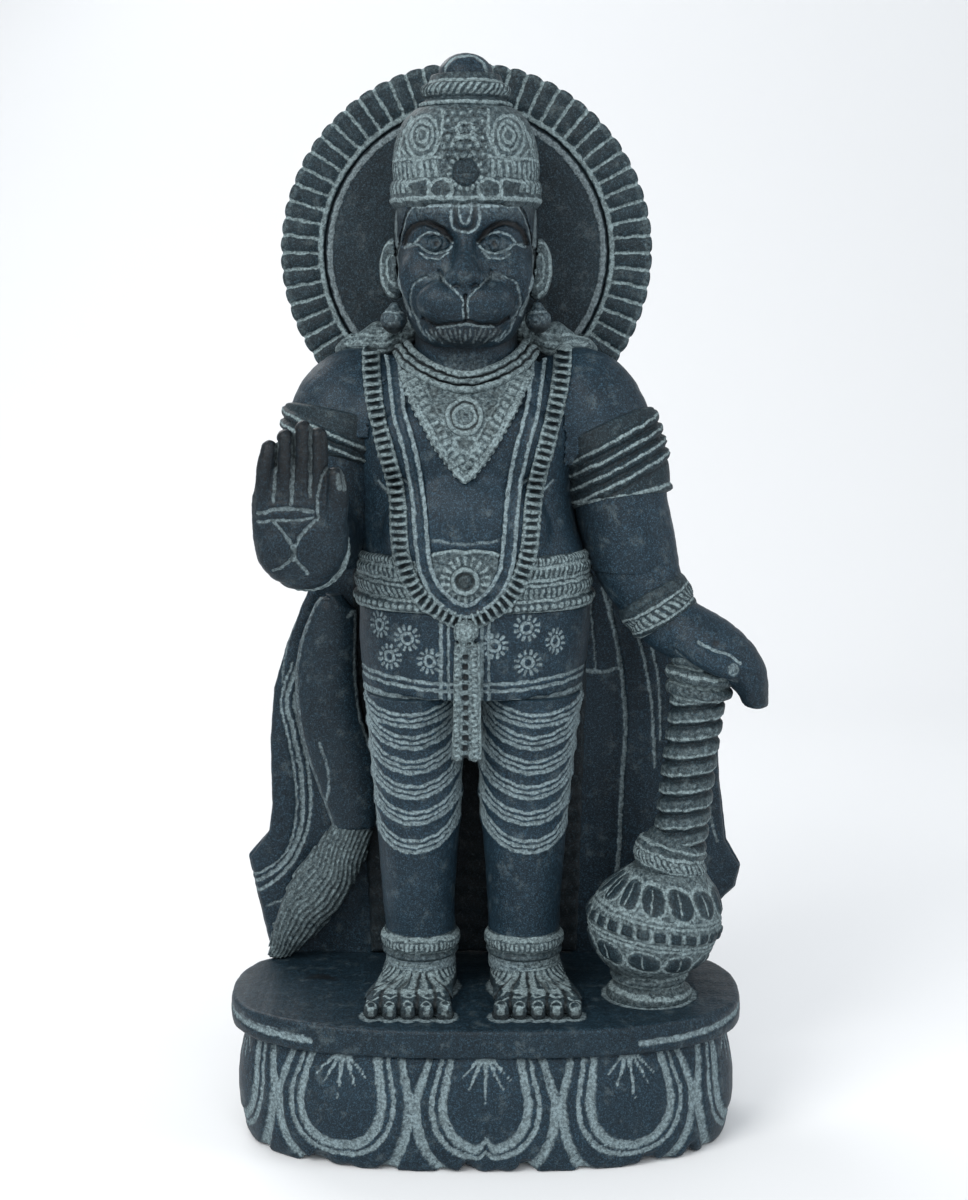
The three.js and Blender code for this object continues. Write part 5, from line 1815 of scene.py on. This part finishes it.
def right_arm():
    """The raised arm: down to the elbow, then forward to the wrist behind the open hand."""
    mid = spot("right_armlet", 0.5, 0.5, 0.5)
    shoulder = joined(right_shoulder_form, bare_torso, 12)
    piece("right_shoulder", shoulder, [], 0.9, grow=(0, 0, 0, 4, 4, 2))
    band = limb(mid, [(9.3, 1, 10.9, 33, 32), (6.8, -0.5, -1.1, 32.5, 32.3), (4.8, -2, -12.1, 31, 31.3)],
                8, cap=0.12)
    chart = front_chart(mid)
    marks = pleats(chart, 3, -10, 7.2, -0.42, 3.3)
    lower_edge = lambda p: 0.5 * fade(np.abs(chart(p)[1] + 0.42 * chart(p)[0] + 16), 3)
    marks.append(Mark(lower_edge, 0, 1.0))
    # Painted shade on the armlet's side towards the trunk.
    piece("right_armlet", band, marks, 0.8, painted_shade=growing(0.4, 0, mid[0] + 8, mid[0] + 20))
    upper = limb(mid, [
        (4.8, -1, -6.1, 28, 29), (4.3, -2, -10.1, 29, 30), (1.3, -6, -40.1, 27, 28),
        (-0.7, -10, -64.1, 22, 24),
    ], 12)
    fore = limb(mid, [
        (-0.7, -12, -51.1, 22, 22), (-2.7, -38, -53.1, 20, 20), (-5.7, -60, -54.1, 18, 17),
    ], 10, across=(0, 0, 1), cap=0.3)
    shade = growing(0.35, 0, mid[0] + 2, mid[0] + 16)
    piece("right_upper_arm", upper, [], 1.0, painted_shade=shade)
    piece("right_forearm", joined(fore, upper, 8), [], 0.9, painted_shade=shade)
    centre = spot("right_bangle", 0.5, 0.5, 0.5)
    strands = 34

    def rope(p):
        x, y, z = (p - centre).T
        turn = np.arctan2(z, x) / (2 * math.pi) * strands + 0.18 * y
        return np.hypot(np.maximum(np.hypot(x, z) - 20.6, 0), y) - 2.6 - 0.2 * np.sin(turn * 2 * math.pi)
    piece("right_bangle", rope, [Mark(lambda p: np.ones(len(p)), 0, 0.6)], 0.7)


def right_hand():
    """The open hand, palm to the front, anchored 89.2 below its highest fingertip."""
    low = spot("right_hand", 0.5, 0.5, 1) - np.array([0, 0, 89.2])
    palm = limb(low, [
        (1.2, 2.4, 4.2, 9, 5), (0.8, 1.9, 9.2, 18, 8), (-0.8, 0.4, 25.2, 24.5, 10.5),
        (-1.8, -1.6, 41.2, 24.6, 9.6), (-1.8, -3.6, 50.2, 23.6, 6.6), (-1.8, -4.8, 62.2, 19.5, 4.0),
    ], 10)
    fingers = []
    for root_x, middle_x, x, tip, r in (
        (-20.0, -18.5, -16.1, 79.2, 4.6), (-7.8, -7.8, -7.8, 84.7, 4.9),
        (1.7, 1.7, 1.7, 89.4, 5.1), (9.6, 9.6, 9.6, 85.7, 4.7),
    ):
        fingers.append(limb(low, [
            (root_x, -4.1, 41.2, r, r), (middle_x, -5.6, 63.2, r, r),
            (x, -4.6, tip - r, r * 0.92, r * 0.92),
        ], 7))
    thumb = limb(low, [
        (12.2, -1.6, 23.2, 7, 6), (17.2, -5.6, 37.2, 6.6, 6.2), (19.2, -7.6, 53.2, 5.6, 5.4),
        (18.2, -7.6, 60.7, 4.6, 4.4),
    ], 9)
    pads = [
        ellipsoid(low + np.array((-14.8, -2.6, 22.2)), (9, 8, 14)),
        ellipsoid(low + np.array((13.2, -2.6, 25.2)), (10, 8, 15)),
    ]
    web = ellipsoid(low + np.array([-3, -1.5, 58]), (17, 3.2, 25))

    def form(p):
        d = smooth_min(palm(p), web(p), 2)
        for part in fingers:
            d = smooth_min(d, part(p), 1.6)
        for part in pads:
            d = smooth_min(d, part(p), 5)
        return smooth_min(d, thumb(p), 2.2)
    chart = front_chart(low)
    front = toward_front(low[1] + 2)
    marks = []
    for points, width in (
        ([(-22.5, 40.7), (-13.8, 43.2), (-3.8, 43.6), (6.2, 42.2)], 2.4),
        ([(-22.8, 36.2), (-11.8, 37.8), (-1.8, 37.6), (6.2, 39.2)], 1.4),
        ([(-14.2, 36.8), (-7.8, 29.2), (-4.3, 22.2), (-4.8, 16.2)], 2.2),
        ([(9.2, 39.2), (2.2, 32.2), (-2.8, 25.2), (-3.8, 18.2), (2.8, 9.2)], 2.2),
        ([(-4.8, 18.2), (-8.8, 13.7), (-14.8, 10.9)], 1.8),
    ):
        marks.append(stroke(chart, points, width, 1.2, 0.95, facing=front))
    for points, width in (
        ([(-12.3, 78.2), (-14.2, 47.2)], 2.0),
        ([(-3.4, 83.2), (-4.6, 46.2)], 2.4),
        ([(5.4, 86.2), (4.8, 50.2)], 2.2),
    ):
        marks.append(stroke(chart, points, width, 0.7, 0.95, smooth=False, facing=front))
    thumb_edge = [(8.8, 37.2), (9, 51.2), (11.7, 61.2), (16.8, 66.2), (21.5, 63.2), (22.8, 53.2)]
    marks.append(stroke(chart, thumb_edge, 1.5, 0.6, 0.9, facing=front))
    marks.append(stroke(chart, [(19.7, 61.2), (20.7, 54.2)], 2.2, 0.2, 0.9, facing=front))
    shade = lambda p: 0.28 + 0.48 * np.clip((p[:, 2] - low[2] - 38) / 26, 0, 1)
    piece("right_hand", form, marks, 0.6, grow=(2, 3, 2, 3, 3, 3), painted_shade=shade)


def left_arm():
    """The lowered arm, down to the wrist over the mace."""
    mid = spot("left_armlet", 0.5, 0.5, 0.5)
    shoulder = joined(left_shoulder_form, bare_torso, 12)
    piece("left_shoulder", shoulder, [], 0.9, grow=(4, 0, 0, 0, 4, 2))
    band = limb(mid, [
        (-9.5, 1.6, 13.4, 32.5, 32), (-2.5, -1.4, -2.6, 30.5, 31.3), (1.5, -4.4, -22.6, 28.6, 29.6),
    ], 10, cap=0.14)
    chart = front_chart(mid)
    above = lambda p: p[:, 2] - mid[2] > -19 + 0.22 * (p[:, 0] - mid[0])

    def low_band(level, half_width, cut, pale):
        return Mark(lambda p: fade(np.abs(chart(p)[1] - 0.2 * chart(p)[0] - level), half_width), cut, pale)
    marks = pleats(chart, 4, -11.5, 8.0, 0.52, 3.6, facing=above)
    marks += [
        low_band(-19.5, 1.5, 0.1, 0.9), low_band(-22.5, 2.6, -1.2, 0.2), low_band(-26.5, 1.5, 0.4, 0.95),
    ]
    # Painted shade on the armlet's side towards the trunk.
    piece("left_armlet", band, marks, 0.8, painted_shade=growing(0.35, 0, mid[0] - 6, mid[0] - 18))
    upper = limb(mid, [
        (-1.5, -2.4, -8.6, 27.5, 29), (1.5, -5.4, -26.6, 26.5, 28.5), (5.5, -8.4, -43.6, 26, 27),
        (9.5, -11.4, -58.6, 24.5, 24.5),
    ], 12)
    fore = limb(mid, [
        (5.5, -8.4, -43.6, 25.5, 26), (9.5, -11.4, -56.6, 24, 24), (13.5, -14.4, -66.6, 22, 22),
        (20.5, -20.4, -79.6, 18.5, 18.5),
    ], 10, cap=0.3)
    shade = growing(0.45, 0, mid[0] - 4, mid[0] - 18)
    piece("left_upper_arm", upper, [], 1.0, painted_shade=shade)
    piece("left_forearm", fore, [], 1.0, painted_shade=shade)
    left_bangle()


def left_bangle():
    mid = spot("left_bangle", 0.5, 0.5, 0)
    ring = limb(mid, [
        (-5.5, 3, 26, 20, 20), (-3.2, 3, 22.5, 21.5, 21.5), (-0.6, 1, 18, 21.8, 21.8),
        (1.2, -1, 14.5, 20, 20), (3, -2.2, 11.5, 20.4, 20.4), (4.6, -3, 8.5, 18.5, 18.5),
    ], 12, cap=0.12)
    tilt = wrap_chart(mid, 21, lean=-0.62)
    marks = [
        teeth(tilt, 13.5, 21, 4.2, 0.4, 0.9, 0.75, slant=0.9),
        level_line(tilt, 22.4, 1.6, 0.2, 0.95),
        level_line(tilt, 12.4, 1.5, 0.4, 0.9),
        level_line(tilt, 8.4, 1.4, 0.3, 0.8),
    ]
    piece("left_bangle", ring, marks, 0.65, pale=0.15)


def left_hand():
    """The hand bent over the top of the mace, fingers down its outer side."""
    mid = spot("left_hand", 0.5, 0.5, 0)
    back = limb(mid, [
        (-25, 10.9, 47.8, 17, 17), (-20, 7.9, 42.8, 17, 17.5), (-9, 3.9, 37.3, 17, 18.5),
        (5, 0.9, 30.8, 15.5, 20), (17, 0.9, 21.8, 12.5, 20), (24, 1.4, 10.8, 8.5, 18),
        (26.5, 1.9, 2.8, 6.5, 16.5),
    ], 16)
    thumb = limb(mid, [
        (-14, -6.1, 35.8, 8, 8), (-4, -13.1, 28.8, 7.4, 7.6), (5, -16.6, 23.3, 6.2, 6.6),
        (12, -17.6, 20.3, 5.2, 5.2),
    ], 10)
    fingers = []
    for y in (-11.5, -3.0, 5.5, 13.5):
        fingers.append(limb(mid, [
            (16, y, 27, 5.5, 5), (22, y, 18, 5.2, 4.8), (25.5, y, 8, 4.8, 4.6), (25, y, 3.5, 4.2, 4.2),
        ], 7))

    def form(p):
        d = back(p)
        for part in fingers:
            d = smooth_min(d, part(p), 1.8)
        return np.maximum(smooth_min(d, thumb(p), 2.0), mid[2] - 2 - p[:, 2])
    chart = front_chart(mid)
    front = toward_front(mid[1] - 2)
    # A small hollow, darkened with painted shade.
    hollow = lambda p: fade(np.hypot((chart(p)[0] - 3) / 3.2, (chart(p)[1] - 35.5) / 2.4), 1.0)
    marks = [
        stroke(chart, [(-6, 35.8), (2, 31.8), (11, 28.8), (17, 24.3)], 1.8, 0.8, 0.9, facing=front),
        stroke(chart, [(-18, 30.8), (-8, 21.8), (4, 15.3), (16, 13.8)], 1.4, 0.4, 0.35, facing=front),
        oval_patch(chart, (12.5, 21.3), 4.2, 4.0, 0.0, 0.5, facing=front),
        Mark(hollow, 0.4, 0, 0.7),
    ]
    shade = growing(0.3, 2, mid[2] + 22, mid[2] + 4)
    piece("left_hand", form, marks, 0.7, grow=(3, 0, 3, 1, 0, 3), painted_shade=shade)


def upper_pieces():
    head_piece()
    neck_piece()
    for side in ("right", "left"):
        ear_piece(side)
        pendant_piece(side)
        lock_piece(side)
    crown_band()
    crown_dome()
    crown_ring()
    crown_finial()
    halo_disc()
    halo_rim()
    back_piece()
    fall_pieces()
    tail_piece()
    tail_tuft()
    right_arm()
    right_hand()
    left_arm()
    left_hand()


base_pieces()
leg_pieces()
mace_pieces()
ornament_pieces()
upper_pieces()


# ---- Floor, light and camera ----
def plain(name, colour, roughness=0.9):
    material = bpy.data.materials.new(name)
    material.use_nodes = True
    surface = material.node_tree.nodes["Principled BSDF"]
    surface.inputs["Base Color"].default_value = (*colour, 1)
    surface.inputs["Roughness"].default_value = roughness
    surface.inputs["Specular IOR Level"].default_value = 0.1
    return material


BEND_START = 1.2
BEND_RADIUS = 0.8


def sweep():
    """Pale floor that curves up into the backdrop."""
    profile = [(-3.0, 0.0), (BEND_START, 0.0)]
    for turn in np.linspace(0.1, math.pi / 2, 14):
        rise = BEND_RADIUS - BEND_RADIUS * math.cos(turn)
        profile.append((BEND_START + BEND_RADIUS * math.sin(turn), rise))
    profile.append((BEND_START + BEND_RADIUS, 4.5))
    verts = [(x, y, z) for y, z in profile for x in (-5, 5)]
    faces = [(2 * i, 2 * i + 1, 2 * i + 3, 2 * i + 2) for i in range(len(profile) - 1)]
    mesh = bpy.data.meshes.new("sweep")
    mesh.from_pydata(verts, [], faces)
    for face in mesh.polygons:
        face.use_smooth = True
    mesh.materials.append(plain("sweep", (0.80, 0.81, 0.82)))
    floor = bpy.data.objects.new("sweep", mesh)
    bpy.context.scene.collection.objects.link(floor)
    floor.location.z = float(cad_low[2])


def softbox(name, place, target, size, power, colour=(1, 1, 1)):
    lamp = bpy.data.lights.new(name, "AREA")
    lamp.shape = "RECTANGLE"
    lamp.size, lamp.size_y = size
    lamp.energy = power
    lamp.color = colour
    obj = bpy.data.objects.new(name, lamp)
    bpy.context.scene.collection.objects.link(obj)
    obj.location = place
    aim = mathutils.Vector(target) - obj.location
    obj.rotation_euler = aim.to_track_quat("-Z", "Y").to_euler()


# The camera's distance and height are in heights of the statue, its pitch in degrees.
CAMERA_DISTANCE = 1.822
CAMERA_HEIGHT = 0.771
CAMERA_PITCH = 8.3


def camera():
    height = float(cad_high[2] - cad_low[2])
    lens = bpy.data.cameras.new("camera")
    lens.lens = 59.55
    lens.sensor_width = 36
    obj = bpy.data.objects.new("camera", lens)
    bpy.context.scene.collection.objects.link(obj)
    obj.location = (-0.001, -CAMERA_DISTANCE * height, CAMERA_HEIGHT * height)
    obj.rotation_euler = (math.radians(90 - CAMERA_PITCH), 0, 0)
    bpy.context.scene.camera = obj


sweep()
softbox("key", (-1.1, -1.5, 1.7), (0, 0, 0.33), (1.1, 1.1), 36, (1, 0.99, 0.97))
softbox("front", (0.25, -2.0, 1.2), (0, 0, 0.3), (1.6, 1.2), 17, (0.96, 0.98, 1))
softbox("side", (1.6, -0.5, 1.1), (0, 0, 0.3), (0.7, 1.2), 9, (0.95, 0.98, 1))
softbox("back", (-0.9, 1.3, 1.6), (0, 0.0, 0.35), (1.2, 0.8), 16)
world = bpy.data.worlds.new("room")
world.use_nodes = True
world.node_tree.nodes["Background"].inputs["Color"].default_value = (0.93, 0.96, 1.0, 1)
world.node_tree.nodes["Background"].inputs["Strength"].default_value = 0.58
bpy.context.scene.world = world
camera()
bpy.context.scene.view_settings.view_transform = "Standard"
